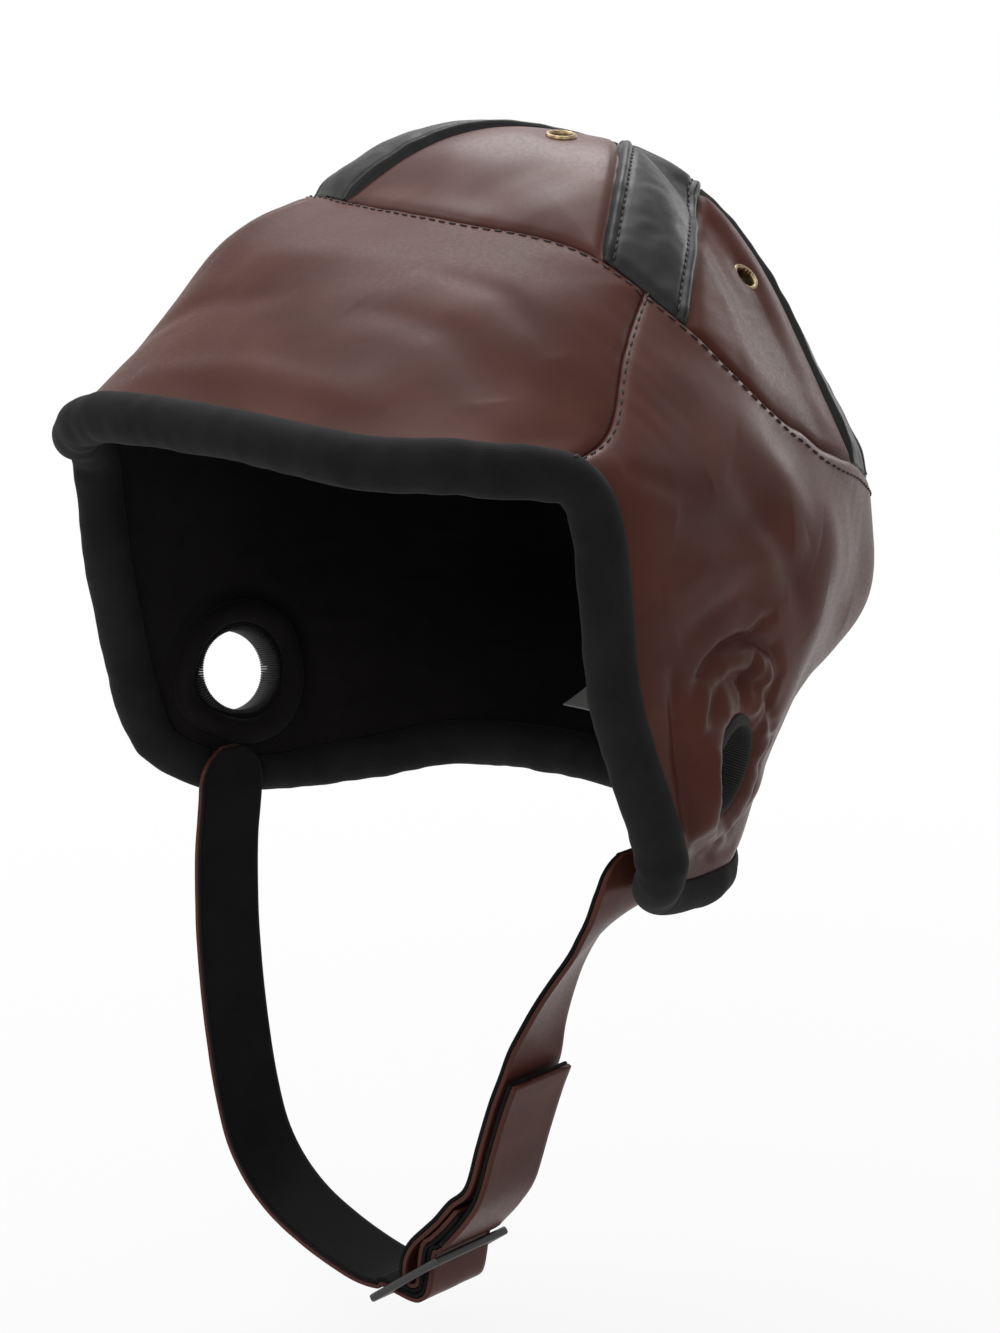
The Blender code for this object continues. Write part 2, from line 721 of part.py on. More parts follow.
def build_ear(side):
    centre, axis = ear_spot(side)
    inner, outer = ear_bore_radius, ear_bore_radius + ear_edging_wall
    top = shell_outer + ear_edging_stand
    foot = lining_inner - ear_edging_stand
    round_off = ear_edging_wall / 3
    sleeve = [(inner, foot + round_off), (inner + round_off, foot), (outer - round_off, foot),
              (outer, foot + round_off), (outer, top - round_off), (outer - round_off, top),
              (inner + round_off, top), (inner, top - round_off)]
    turned(f"ear_edging_{side}", sleeve, centre, axis, ear_sides, edging_thread)
    across = axis.orthogonal().normalized()
    along_way = axis.cross(across)
    lining = layer_faces(f"side_{side}_lining")
    crown_line = [(0.0, 0.0), (0.12, 0.7), (0.35, 1.0), (0.65, 1.0), (0.88, 0.7), (1.0, 0.0)]
    mesh = bmesh.new()
    loops = []
    for k in range(ear_sides):
        angle = 2 * pi * k / ear_sides
        loop, back = [], []
        for reach_share, swell_share in crown_line:
            radius = ear_pad_inner + (ear_pad_outer - ear_pad_inner) * reach_share
            u, t = wall_under(centre, across, along_way, cos(angle) * radius, sin(angle) * radius, side)
            spot, outward = wall_at(u, t), wall_normal(u, t)
            met = lining.ray_cast(spot - outward * ear_pad_outer, outward)[0]
            base = (met - spot).dot(outward) - ear_pad_gap
            depth = base - ear_pad_thickness * (0.3 + 0.7 * swell_share)
            loop.append(mesh.verts.new(spot + outward * depth))
            back.append(mesh.verts.new(spot + outward * base))
        loops.append(loop + list(reversed(back)))
    for k, loop in enumerate(loops):
        nxt = loops[(k + 1) % ear_sides]
        for m in range(len(loop)):
            n = (m + 1) % len(loop)
            mesh.faces.new([loop[m], nxt[m], nxt[n], loop[n]])
    place(f"ear_pad_{side}", mesh, lining_cloth)


hinge = Vector((0, -strap_pivot_forward, -strap_pivot_drop))


def strap_place(share):
    across, down = share
    return Vector((across * strap_half_span, 0, hinge.z - down * strap_drop))


def curve_through(knots, steps):
    padded = [2 * knots[0] - knots[1], *knots, 2 * knots[-1] - knots[-2]]
    line = []
    for k in range(len(knots) - 1):
        for m in range(steps):
            line.append(smooth_between(*padded[k:k + 4], m / steps))
    return line + [knots[-1]]


slider_centre = strap_place(slider_place_shares)
slider_run = Vector((cos(slider_angle), 0, sin(slider_angle)))
slider_out = Vector((sin(slider_angle), 0, -cos(slider_angle)))
ply = strap_face_thickness + strap_back_thickness + strap_ply_gap
layer = ply + ply_clearance
bar_place = slider_length / 2 - slider_bar / 2
bar_edge = slider_length / 2 - slider_bar
under_bar = slider_thickness / 2 + 2 * ply_clearance + ply / 2
wrap = hypot(slider_bar, slider_thickness) / 2 + ply_clearance + ply / 2
hump = wrap + layer
exit_run = slider_length / 2 + ply_clearance


def at_slider(run, out):
    return slider_centre + slider_run * run + slider_out * out


def beside(line, k, distance):
    # point beside a line, toward the wearer
    run = (line[min(k + 1, len(line) - 1)] - line[max(k - 1, 0)]).normalized()
    return line[k] + Vector((-run.z, 0, run.x)) * distance


def arc_point(radius, angle):
    return at_slider(sin(angle) * radius, cos(angle) * radius)


def right_line():
    # down the wearer's right, under the first bar, over the sewn loop and under the last bar
    lean = radians(42.0)
    foot = bar_edge - ply / 2
    knots = [strap_place(share) for share in right_route_shares]
    knots += [at_slider(-bar_place, -under_bar), at_slider(-foot, -under_bar + ply_clearance / 2),
              arc_point(hump, -lean), arc_point(hump, 0), arc_point(hump, lean),
              at_slider(foot, -under_bar + ply_clearance / 2), at_slider(bar_place, -under_bar),
              at_slider(exit_run, -under_bar)]
    return curve_through(knots, 2)


def tail_line():
    knots = [at_slider(exit_run + strap_tail_gap, -under_bar)]
    knots += [strap_place(share) for share in tail_route_shares]
    return curve_through(knots, 3)


def left_line():
    # from the sewn end of the loop, round the middle bar and up to the wearer's left flap
    tail = tail_line()
    slope = radians(42.0)
    knots = [beside(tail, k, layer) for k in strap_fold_samples[::-1]]
    knots += [at_slider(bar_place, -under_bar - layer), at_slider(bar_edge - wrap, -under_bar - layer * 0.7),
              arc_point(wrap, slope), arc_point(wrap, 0), arc_point(wrap, -slope), arc_point(wrap, -2 * slope),
              arc_point(wrap, -3.1 * slope), at_slider(wrap * 0.3, -under_bar - layer * 0.95),
              at_slider(bar_edge * 0.5, -under_bar - layer * 1.8), at_slider(bar_place, -under_bar - 2.25 * layer)]
    knots += [beside(tail, k, 2.25 * layer) for k in strap_fold_samples]
    knots += [beside(tail, k, layer * 1.5) for k in range(strap_fold_samples[-1] + 3, len(tail), 3)]
    knots += [strap_place(share) for share in left_route_shares]
    return curve_through(knots, 2)


def half_width_at(point, rounded):
    # the sewn top end is a half round about the hinge line
    rise = point.z - hinge.z
    if rounded and rise > 0:
        return sqrt(max((strap_width / 2) ** 2 - rise ** 2, (strap_width / 8) ** 2))
    return strap_width / 2


def ribbon(name, line, outer, inner, material, out_sign, rounded=False, origin=None):
    mesh = bmesh.new()
    rows = []
    for k, point in enumerate(line):
        run = (line[min(k + 1, len(line) - 1)] - line[max(k - 1, 0)]).normalized()
        out = Vector((run.z, 0, -run.x)) * out_sign
        half = half_width_at(point, rounded)
        centre = Vector((point.x, hinge.y, point.z))
        aside = Vector((0, half, 0))
        rows.append([mesh.verts.new(centre + out * h + aside * s)
                     for h, s in ((outer, -1), (outer, 1), (inner, 1), (inner, -1))])
    for near, far in zip(rows, rows[1:]):
        for m in range(4):
            n = (m + 1) % 4
            mesh.faces.new([near[m], far[m], far[n], near[n]])
    mesh.faces.new(rows[0])
    mesh.faces.new(list(reversed(rows[-1])))
    return place(name, mesh, material, origin)


def two_ply(name, line, out_sign, rounded, origin):
    middle = strap_ply_gap / 2
    ribbon(f"{name}_face", line, middle + strap_face_thickness, middle, leather, out_sign, rounded, origin)
    ribbon(f"{name}_backing", line, -middle, -middle - strap_back_thickness, lining_cloth, out_sign,
           rounded, origin)


def build_strap():
    two_ply("strap_right", right_line(), 1, True, hinge)
    tail = tail_line()
    pivot = tail[0] + slider_out * (strap_ply_gap / 2 + strap_face_thickness)
    two_ply("strap_tail", tail, 1, False, Vector((pivot.x, hinge.y, pivot.z)))
    two_ply("strap_left", left_line(), 1, True, hinge)


def build_slider():
    inner_half = strap_width / 2 + slider_side_clearance
    outer_half = inner_half + slider_wall
    half = slider_length / 2
    gap = half - slider_bar
    mesh = bmesh.new()
    lines_y = (-outer_half, -inner_half, inner_half, outer_half)
    lines_s = (-half, -gap, -slider_bar / 2, slider_bar / 2, gap, half)
    layers = []
    for level in (-slider_thickness / 2, slider_thickness / 2):
        layers.append([[mesh.verts.new(at_slider(s, level) + Vector((0, hinge.y + y, 0))) for y in lines_y]
                       for s in lines_s])
    kept = {(i, j) for i in range(5) for j in range(3) if not (j == 1 and i in (1, 3))}
    for i, j in kept:
        quad = [(i, j), (i + 1, j), (i + 1, j + 1), (i, j + 1)]
        for level, order in ((0, quad), (1, quad[::-1])):
            mesh.faces.new([layers[level][a][b] for a, b in order])
        for (a, b), (c, d), near in ((quad[0], quad[3], (i - 1, j)), (quad[1], quad[2], (i + 1, j)),
                                     (quad[0], quad[1], (i, j - 1)), (quad[3], quad[2], (i, j + 1))):
            if near not in kept:
                mesh.faces.new([layers[0][a][b], layers[0][c][d], layers[1][c][d], layers[1][a][b]])
    item = place("strap_slider", mesh, slider_plastic, Vector((slider_centre.x, hinge.y, slider_centre.z)), False)
    bevel = item.modifiers.new("edges", "BEVEL")
    bevel.width = slider_bevel
    bevel.segments = 1
    bevel.limit_method = "ANGLE"
    return item


def build_label():
    # blank satin care label laid on the inside of the wall at the back, above the binding
    u = float(station_count - 1)
    rows = []
    for rise in (0, label_height / 2, label_height):
        row = []
        for k in range(5):
            offset = (k / 4 - 0.5) * label_width
            here, outward, inward, run = edge_frame(u)
            length = (wall_at(u, 0.9) - wall_at(u, 1.0)).length / 0.1
            t = 1.0 - (label_rise + rise) / length
            pace = (wall_at(u + 0.1, t) - wall_at(u - 0.1, t)).length / 0.2
            at = u + offset / pace
            row.append((wall_at(at, t), wall_normal(at, t)))
        rows.append(row)
    sheet = sheet_of(rows)
    top = lining_inner - seam_gap - layer_gap / 2
    sheet.solid("care_label", top, top - label_thickness, label_satin)


clear_scene()
build_crown()
build_wall()
build_binding("face_binding", tip_right, len(columns) + tip_left)
build_binding("nape_binding", tip_left, tip_right)
build_eyelets()
for ear_side in ("left", "right"):
    build_ear(ear_side)
build_strap()
build_slider()
build_label()
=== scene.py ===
import bmesh
import bpy
import numpy as np
from itertools import product
from math import cos, pi, radians, sin
from mathutils import Matrix, Vector


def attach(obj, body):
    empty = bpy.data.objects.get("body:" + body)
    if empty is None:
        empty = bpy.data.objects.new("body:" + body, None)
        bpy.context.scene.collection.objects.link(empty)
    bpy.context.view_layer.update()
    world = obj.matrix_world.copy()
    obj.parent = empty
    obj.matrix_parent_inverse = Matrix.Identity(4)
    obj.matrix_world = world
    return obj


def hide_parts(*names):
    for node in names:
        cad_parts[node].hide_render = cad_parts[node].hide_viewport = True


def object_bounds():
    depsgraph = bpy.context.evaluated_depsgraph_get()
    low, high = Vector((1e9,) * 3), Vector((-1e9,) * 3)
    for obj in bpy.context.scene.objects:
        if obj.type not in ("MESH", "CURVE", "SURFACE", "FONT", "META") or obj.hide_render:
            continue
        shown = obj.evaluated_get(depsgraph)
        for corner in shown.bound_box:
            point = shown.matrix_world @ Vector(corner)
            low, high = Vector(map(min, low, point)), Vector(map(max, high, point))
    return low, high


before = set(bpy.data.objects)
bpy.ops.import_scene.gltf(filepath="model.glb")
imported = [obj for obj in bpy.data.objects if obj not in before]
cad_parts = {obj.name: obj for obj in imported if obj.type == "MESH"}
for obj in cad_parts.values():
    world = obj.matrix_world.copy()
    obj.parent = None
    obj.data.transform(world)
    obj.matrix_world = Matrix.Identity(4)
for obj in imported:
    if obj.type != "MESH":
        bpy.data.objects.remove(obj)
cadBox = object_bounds()
mm = 0.001

# the shaping surface of the cap, as the solids have it: sizes, then four rings from crown seam to lower edge
capShape = {
    "halfWidth": 0.086, "halfLength": 0.098, "crownHeight": 0.141, "crownBack": 0.008,
    "tilt": radians(20.0), "lean": 0.0165, "sway": 0.0072, "swayFrom": 0.34, "swayTo": 0.76,
    "stripHalf": 0.011, "stripFront": radians(43.0), "stripBack": radians(70.0), "stripCentre": 0.027,
    "outer": 1.3 * mm, "inner": -5.4 * mm, "stackMiddle": -2.05 * mm,
}
# a row is a point's share of half width, half length and crown height, and how much of the lean it takes
seamTable = (
    (0.000, -0.408, 0.775, 0.00), (0.419, -0.347, 0.776, 0.15), (0.698, -0.255, 0.742, 0.56),
    (0.814, -0.102, 0.676, 0.65), (0.825, 0.020, 0.646, 0.65), (0.818, 0.122, 0.631, 0.60),
    (0.812, 0.215, 0.612, 0.55), (0.790, 0.330, 0.606, 0.50), (0.722, 0.490, 0.598, 0.40),
    (0.575, 0.712, 0.572, 0.30), (0.310, 0.860, 0.520, 0.10), (0.000, 0.908, 0.490, 0.00),
)
upperTable = (
    (0.000, -0.653, 0.650, 0.00), (0.442, -0.592, 0.655, 0.10), (0.733, -0.469, 0.640, 0.50),
    (0.884, -0.286, 0.569, 0.50), (0.930, -0.122, 0.488, 0.40), (0.948, 0.011, 0.398, 0.30),
    (0.943, 0.145, 0.370, 0.30), (0.856, 0.300, 0.341, 0.20), (0.722, 0.492, 0.327, 0.10),
    (0.593, 0.726, 0.334, 0.00), (0.326, 0.898, 0.348, 0.00), (0.000, 0.939, 0.363, 0.00),
)
lowerTable = (
    (0.000, -0.878, 0.490, 0.00), (0.465, -0.816, 0.494, 0.00), (0.756, -0.673, 0.480, 0.10),
    (0.930, -0.469, 0.427, 0.10), (0.965, -0.306, 0.299, 0.10), (0.960, -0.122, 0.142, 0.00),
    (0.896, 0.061, 0.035, 0.00), (0.801, 0.224, 0.071, 0.00), (0.682, 0.398, 0.100, 0.00),
    (0.515, 0.561, 0.142, 0.00), (0.279, 0.694, 0.142, 0.00), (0.000, 0.755, 0.157, 0.00),
)
edgeTable = (
    (0.000, -1.061, 0.338, 0.00), (0.477, -1.031, 0.334, 0.00), (0.721, -0.929, 0.331, -0.25),
    (0.905, -0.714, 0.316, -0.32), (0.960, -0.500, 0.057, 0.00), (0.994, -0.255, -0.150, 0.00),
    (0.885, -0.110, -0.215, 0.00), (0.814, 0.153, -0.177, 0.00), (0.663, 0.316, -0.128, 0.00),
    (0.477, 0.429, -0.074, 0.00), (0.244, 0.469, -0.054, 0.00), (0.000, 0.480, -0.046, 0.00),
)
# how sharply the crown falls off toward each station of its seam
fallLeft = (2.15, 2.0, 1.85, 1.7, 1.6, 1.64, 1.75, 2.0, 1.95, 1.9, 1.85, 1.8)
fallRight = (2.15, 2.9, 3.6, 3.3, 2.5, 2.5, 2.5, 2.4, 2.1, 2.0, 1.9, 1.8)


def closedRing(table):
    # left half from the table and right half mirrored, one lowered and the other raised by the lean
    rows = np.array(table)
    scale = np.array([capShape["halfWidth"], capShape["halfLength"], capShape["crownHeight"]])
    left = rows[:, :3] * scale
    right = left[-2:0:-1] * (-1, 1, 1)
    left[:, 2] -= rows[:, 3] * capShape["lean"]
    right[:, 2] += rows[-2:0:-1, 3] * capShape["lean"]
    return np.concatenate([left, right])


rings = [closedRing(table) for table in (seamTable, upperTable, lowerTable, edgeTable)]
falls = np.array(fallLeft + fallRight[-2:0:-1])
ringLength = len(rings[0])
crownCentre = np.array([0, capShape["crownBack"], capShape["crownHeight"]])


def unit(v):
    return v / np.maximum(np.linalg.norm(v, axis=-1, keepdims=True), 1e-12)


def between(a, b, c, d, f):
    # smooth curve from b to c at share f, with a and d as the neighbours
    return 0.5 * (2 * b + (c - a) * f + (2 * a - 5 * b + 4 * c - d) * f * f
                  + (3 * b - a - 3 * c + d) * f ** 3)


def alongRing(ring, u):
    first = np.floor(u).astype(int)
    f = u - first
    if ring.ndim > 1:
        f = f[..., None]
    return between(*(ring[(first + k) % len(ring)] for k in (-1, 0, 1, 2)), f)


def worn(p):
    # the upright cap as it stands in the photograph: its top swayed to one side, and the whole tipped back
    share = np.clip((p[..., 2] / capShape["crownHeight"] - capShape["swayFrom"])
                    / (capShape["swayTo"] - capShape["swayFrom"]), 0, 1)
    x = p[..., 0] - capShape["sway"] * share * share * (3 - 2 * share)
    c, s = cos(capShape["tilt"]), sin(capShape["tilt"])
    return np.stack([x, p[..., 1] * c + p[..., 2] * s, p[..., 2] * c - p[..., 1] * s], axis=-1)


def wallPoint(u, t):
    # point of the wall at station u round the cap and depth t: 0 at the crown seam, 1 at the lower edge
    u, t = np.broadcast_arrays(np.asarray(u, float), np.asarray(t, float))
    knots = [alongRing(ring, u) for ring in rings]
    knots = np.stack([2 * knots[0] - knots[1], *knots, 2 * knots[-1] - knots[-2]])
    place = np.clip(t, 0, 1) * 3
    first = np.minimum(place.astype(int), 2)
    picked = [np.take_along_axis(knots, (first + k)[None, ..., None], axis=0)[0] for k in range(4)]
    return worn(between(*picked, (place - first)[..., None]))


def wallNormal(u, t):
    low, high = np.clip(t - 0.01, 0, 1), np.clip(t + 0.01, 0, 1)
    across = wallPoint(u + 0.02, t) - wallPoint(u - 0.02, t)
    return unit(np.cross(wallPoint(u, high) - wallPoint(u, low), across))


seamStations = np.linspace(0, ringLength, ringLength * 40 + 1)
seamLine = alongRing(rings[0], seamStations)
seamAngles = np.arctan2(seamLine[:, 0], crownCentre[1] - seamLine[:, 1]) % (2 * pi)
seamAngles[-1] = 2 * pi


def crownShare(x, y):
    # share of the way from the top of the crown out to its seam, with the seam's point and station there
    angle = np.arctan2(x, crownCentre[1] - y) % (2 * pi)
    u = np.interp(angle, seamAngles, seamStations)
    rim = alongRing(rings[0], u)
    reach = np.hypot(rim[..., 0], rim[..., 1] - crownCentre[1])
    return np.hypot(x, y - crownCentre[1]) / reach, rim, u


def crownPoint(x, y):
    share, rim, u = crownShare(x, y)
    z = crownCentre[2] + (rim[..., 2] - crownCentre[2]) * share ** alongRing(falls, u)
    return worn(np.stack([x, y, z], axis=-1))


def crownNormal(x, y):
    step = 0.1 * mm
    across = crownPoint(x + step, y) - crownPoint(x - step, y)
    return unit(np.cross(across, crownPoint(x, y + step) - crownPoint(x, y - step)))


def seamNormal(u):
    inner = crownCentre + (alongRing(rings[0], u) - crownCentre) * 0.97
    return unit(crownNormal(inner[..., 0], inner[..., 1]) + wallNormal(u, np.zeros_like(u)))


def turnedToSeam(normals, mix, u):
    # crown and wall normals that agree at the seam between them
    mix = mix[..., None]
    return unit(normals * (1 - mix) + seamNormal(u) * mix)


def edgeFrame(u):
    # points of the lower edge, and the directions away from the head, into the wall and along the edge
    here, outward = wallPoint(u, np.ones_like(u)), wallNormal(u, np.ones_like(u))
    run = unit(wallPoint(u + 0.05, np.ones_like(u)) - wallPoint(u - 0.05, np.ones_like(u)))
    inward = unit(np.cross(run, outward))
    turn = np.sign(np.sum(inward * (wallPoint(u, np.full_like(u, 0.95)) - here), axis=-1, keepdims=True))
    return here, outward, inward * turn, run


def softNoise(p, size, seed):
    # smooth repeatable noise in about -1..1 with features of the given size, for points (..., 3)
    q = np.asarray(p) / size + seed * 7.31
    cell = np.floor(q).astype(np.int64)
    f = q - cell
    w = f * f * f * (f * (f * 6 - 15) + 10)
    total = np.zeros(q.shape[:-1])
    for corner in product((0, 1), repeat=3):
        c = cell + corner
        mix = (c[..., 0] * 73856093) ^ (c[..., 1] * 19349663) ^ (c[..., 2] * 83492791)
        mix = (mix ^ (mix >> 13)) * 1274126177 & 0xFFFFFF
        slopes = np.stack([np.sin(mix * k) for k in (0.37, 1.13, 2.71)], axis=-1)
        weight = np.prod(np.where(np.array(corner) == 1, w, 1 - w), axis=-1)
        total += weight * np.sum(slopes * (f - corner), axis=-1)
    return total * 1.6


def bell(gap, width):
    # 1 where the gap is nothing, and next to nothing at twice the width
    return np.exp(-(gap / width) ** 2)


def smoothed(values, window):
    # running mean over an odd number of values
    return np.convolve(np.pad(values, window // 2, mode="edge"), np.ones(window) / window, mode="valid")


def pathDistance(points, path):
    # distance of each point from a polyline, and the share of the polyline where the nearest point lies
    best = np.full(points.shape[:-1], 1e9)
    share = np.zeros(points.shape[:-1])
    for k, (a, b) in enumerate(zip(path, path[1:])):
        run = b - a
        f = np.clip(np.sum((points - a) * run, axis=-1) / max(np.dot(run, run), 1e-12), 0, 1)
        gap = np.linalg.norm(points - (a + run * f[..., None]), axis=-1)
        nearer = gap < best
        best = np.where(nearer, gap, best)
        share = np.where(nearer, (k + f) / (len(path) - 1), share)
    return best, share


def addObject(name, data):
    item = bpy.data.objects.new(name, data)
    bpy.context.scene.collection.objects.link(item)
    return item


def newMesh(name, vertices, faces, material):
    mesh = bpy.data.meshes.new(name)
    mesh.from_pydata([tuple(v) for v in vertices], [], faces)
    mesh.polygons.foreach_set("use_smooth", [True] * len(mesh.polygons))
    mesh.materials.append(material)
    mesh.update()
    return addObject(name, mesh)


def loopFaces(rows, cols, joined=False):
    # faces between loops of points, a loop to a row: with a face at each end, or joined to the first again
    mark = np.arange(rows * cols).reshape(rows, cols)
    turn = np.roll(mark, -1, axis=1)
    if joined:
        after = np.roll(mark, -1, axis=0)
        return np.stack([mark, after, np.roll(after, -1, axis=1), turn], axis=-1).reshape(-1, 4).tolist()
    faces = np.stack([mark[:-1], mark[1:], turn[1:], turn[:-1]], axis=-1).reshape(-1, 4).tolist()
    return faces + [mark[0].tolist(), mark[-1][::-1].tolist()]


def shell(name, outer, inner, material, keep=None):
    # closed shell between two grids of points, without the faces that keep leaves out
    rows, cols = outer.shape[:2]
    keep = np.ones((rows - 1, cols - 1), bool) if keep is None else keep
    mark = np.arange(rows * cols).reshape(rows, cols)
    a, b, c, d = mark[:-1, :-1], mark[:-1, 1:], mark[1:, 1:], mark[1:, :-1]
    deep = rows * cols
    faces = [np.stack([x[keep] for x in (a, d, c, b)], axis=-1),
             np.stack([x[keep] + deep for x in (a, b, c, d)], axis=-1)]
    framed = np.pad(keep, 1)
    for near, first, last in ((framed[:-2, 1:-1], b, a), (framed[2:, 1:-1], d, c),
                              (framed[1:-1, :-2], a, d), (framed[1:-1, 2:], c, b)):
        rim = keep & ~near
        faces.append(np.stack([last[rim], first[rim], first[rim] + deep, last[rim] + deep], axis=-1))
    faces = np.concatenate(faces)
    points = np.concatenate([outer.reshape(-1, 3), inner.reshape(-1, 3)])
    used, index = np.unique(faces, return_inverse=True)
    return newMesh(name, points[used], index.reshape(-1, 4).tolist(), material)


def finishPiece(piece, body, slotName, *nodes):
    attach(piece, body)
    if nodes:
        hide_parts(*nodes)
    return piece


# materials, their threads and grit drawn coarser than life so that they show

def hexColour(text):
    # linear colour from an sRGB hex value
    values = [int(text[k:k + 2], 16) / 255 for k in (1, 3, 5)]
    return (*(v / 12.92 if v <= 0.04045 else ((v + 0.055) / 1.055) ** 2.4 for v in values), 1.0)


def addNode(tree, kind, links=None, **settings):
    node = tree.nodes.new(kind)
    for key, value in settings.items():
        setattr(node, key, value)
    for key, value in (links or {}).items():
        if isinstance(value, bpy.types.NodeSocket):
            tree.links.new(value, node.inputs[key])
        else:
            node.inputs[key].default_value = value
    return node


def newMaterial(name, **values):
    material = bpy.data.materials.new(name)
    material.use_nodes = True
    shader = material.node_tree.nodes["Principled BSDF"]
    for key, value in values.items():
        shader.inputs[key.replace("_", " ")].default_value = value
    return material, material.node_tree, shader


def cloudyColour(tree, place, shader, finish, colours):
    # base colour that drifts between its shades in soft clouds
    cloud = addNode(tree, "ShaderNodeTexNoise", {
        "Vector": place, "Scale": 1 / finish["cloud"], "Detail": finish["detail"],
        "Roughness": finish["cloudRoughness"]})
    ramp = addNode(tree, "ShaderNodeValToRGB", {"Fac": cloud.outputs["Fac"]})
    stops = list(zip(finish["cloudShares"], colours))
    shades = ramp.color_ramp.elements
    for shade, (share, colour) in zip(shades, (stops[0], stops[-1])):
        shade.position, shade.color = share, hexColour(colour)
    for share, colour in stops[1:-1]:
        shades.new(share).color = hexColour(colour)
    tree.links.new(ramp.outputs["Color"], shader.inputs["Base Color"])


leatherSkin = {
    "cloud": 26.3 * mm, "detail": 4.0, "cloudRoughness": 0.55, "cloudShares": (0.32, 0.52, 0.70),
    "grain": 0.8 * mm, "pore": 0.9 * mm, "poreDetail": 3.0, "bump": 0.12, "bumpHeight": 0.08 * mm,
    # how much smoother and rougher than its own roughness the skin is, over this range of the pores
    "smoother": 0.04, "rougher": 0.07, "poreFrom": 0.3, "poreTo": 0.7,
}


def fauxLeather(name, base, deep, light, roughness, gloss):
    # vinyl skin cast on a knit: a closed film with a fine embossed grain, soft gloss and cloudy shade
    material, tree, shader = newMaterial(name, Roughness=roughness, Specular_IOR_Level=gloss)
    place = addNode(tree, "ShaderNodeTexCoord").outputs["Object"]
    cloudyColour(tree, place, shader, leatherSkin, (deep, base, light))
    grain = addNode(tree, "ShaderNodeTexVoronoi", {"Vector": place, "Scale": 1 / leatherSkin["grain"]},
                    feature="DISTANCE_TO_EDGE")
    pore = addNode(tree, "ShaderNodeTexNoise", {"Vector": place, "Scale": 1 / leatherSkin["pore"],
                                                "Detail": leatherSkin["poreDetail"]})
    height = addNode(tree, "ShaderNodeMath", {0: grain.outputs["Distance"], 1: pore.outputs["Fac"]},
                     operation="ADD")
    bump = addNode(tree, "ShaderNodeBump", {"Height": height.outputs[0], "Strength": leatherSkin["bump"],
                                            "Distance": leatherSkin["bumpHeight"]})
    tree.links.new(bump.outputs["Normal"], shader.inputs["Normal"])
    rubbed = addNode(tree, "ShaderNodeMapRange", {
        "Value": pore.outputs["Fac"], "From Min": leatherSkin["poreFrom"], "From Max": leatherSkin["poreTo"],
        "To Min": roughness - leatherSkin["smoother"], "To Max": roughness + leatherSkin["rougher"]})
    tree.links.new(rubbed.outputs["Result"], shader.inputs["Roughness"])
    return material


clothWeave = {
    "cloud": 16.7 * mm, "detail": 5.0, "cloudRoughness": 0.6, "cloudShares": (0.35, 0.68), "gloss": 0.1,
    "sheenRoughness": 0.5, "uneven": 1.5, "unevenDetail": 2.0, "bump": 0.25, "bumpHeight": 0.1 * mm,
}


def waveScale(pitch):
    # a wave texture turns through 20 radians in each unit
    return 2 * pi / 20 / pitch


def wovenCloth(name, base, light, roughness, thread, sheen):
    # plain woven polyester: crossed threads, so a faint grid of bumps and a soft sheen at grazing light
    material, tree, shader = newMaterial(name, Roughness=roughness, Sheen_Weight=sheen,
                                         Sheen_Roughness=clothWeave["sheenRoughness"],
                                         Specular_IOR_Level=clothWeave["gloss"])
    place = addNode(tree, "ShaderNodeTexCoord").outputs["Object"]
    cloudyColour(tree, place, shader, clothWeave, (base, light))
    waves = [addNode(tree, "ShaderNodeTexWave", {"Vector": place, "Scale": waveScale(thread),
                                                 "Distortion": clothWeave["uneven"],
                                                 "Detail": clothWeave["unevenDetail"]}, bands_direction=way)
             for way in ("X", "Z")]
    weave = addNode(tree, "ShaderNodeMath", {k: wave.outputs["Fac"] for k, wave in enumerate(waves)},
                    operation="MAXIMUM")
    bump = addNode(tree, "ShaderNodeBump", {"Height": weave.outputs[0], "Strength": clothWeave["bump"],
                                            "Distance": clothWeave["bumpHeight"]})
    tree.links.new(bump.outputs["Normal"], shader.inputs["Normal"])
    return material


def spunThread(name, colour, roughness):
    # spun polyester thread, too thin for its twist to show: plain and nearly matt
    return newMaterial(name, Roughness=roughness, Base_Color=hexColour(colour))[0]


brassFinish = {"cloud": 1.667 * mm, "detail": 3.0, "cloudRoughness": 0.5, "cloudShares": (0.35, 0.65),
               "colours": ("#6b5b43", "#a4926f"), "roughness": 0.42}


def agedBrass():
    # stamped brass with an aged lacquer: warm metal with cloudy darker patches
    material, tree, shader = newMaterial(
        "stampedAntiqueBrass", Metallic=1.0, Roughness=brassFinish["roughness"])
    place = addNode(tree, "ShaderNodeTexCoord").outputs["Object"]
    cloudyColour(tree, place, shader, brassFinish, brassFinish["colours"])
    return material


plasticFinish = {"colour": "#1c1c1c", "roughness": 0.42, "grit": 0.4 * mm, "detail": 2.0, "bump": 0.15,
                 "bumpHeight": 0.05 * mm}


def mouldedPlastic():
    # injection moulded acetal with a fine spark-eroded texture: dark, slightly satin, with soft highlights
    material, tree, shader = newMaterial("mouldedBlackAcetal", Roughness=plasticFinish["roughness"],
                                         Base_Color=hexColour(plasticFinish["colour"]))
    place = addNode(tree, "ShaderNodeTexCoord").outputs["Object"]
    speck = addNode(tree, "ShaderNodeTexNoise", {"Vector": place, "Scale": 1 / plasticFinish["grit"],
                                                 "Detail": plasticFinish["detail"]})
    bump = addNode(tree, "ShaderNodeBump", {"Height": speck.outputs["Fac"], "Strength": plasticFinish["bump"],
                                            "Distance": plasticFinish["bumpHeight"]})
    tree.links.new(bump.outputs["Normal"], shader.inputs["Normal"])
    return material


satinFinish = {"colour": "#b9b7b4", "roughness": 0.45, "sheen": 0.3, "thread": 0.35 * mm, "uneven": 0.6,
               "bump": 0.2, "bumpHeight": 0.04 * mm}


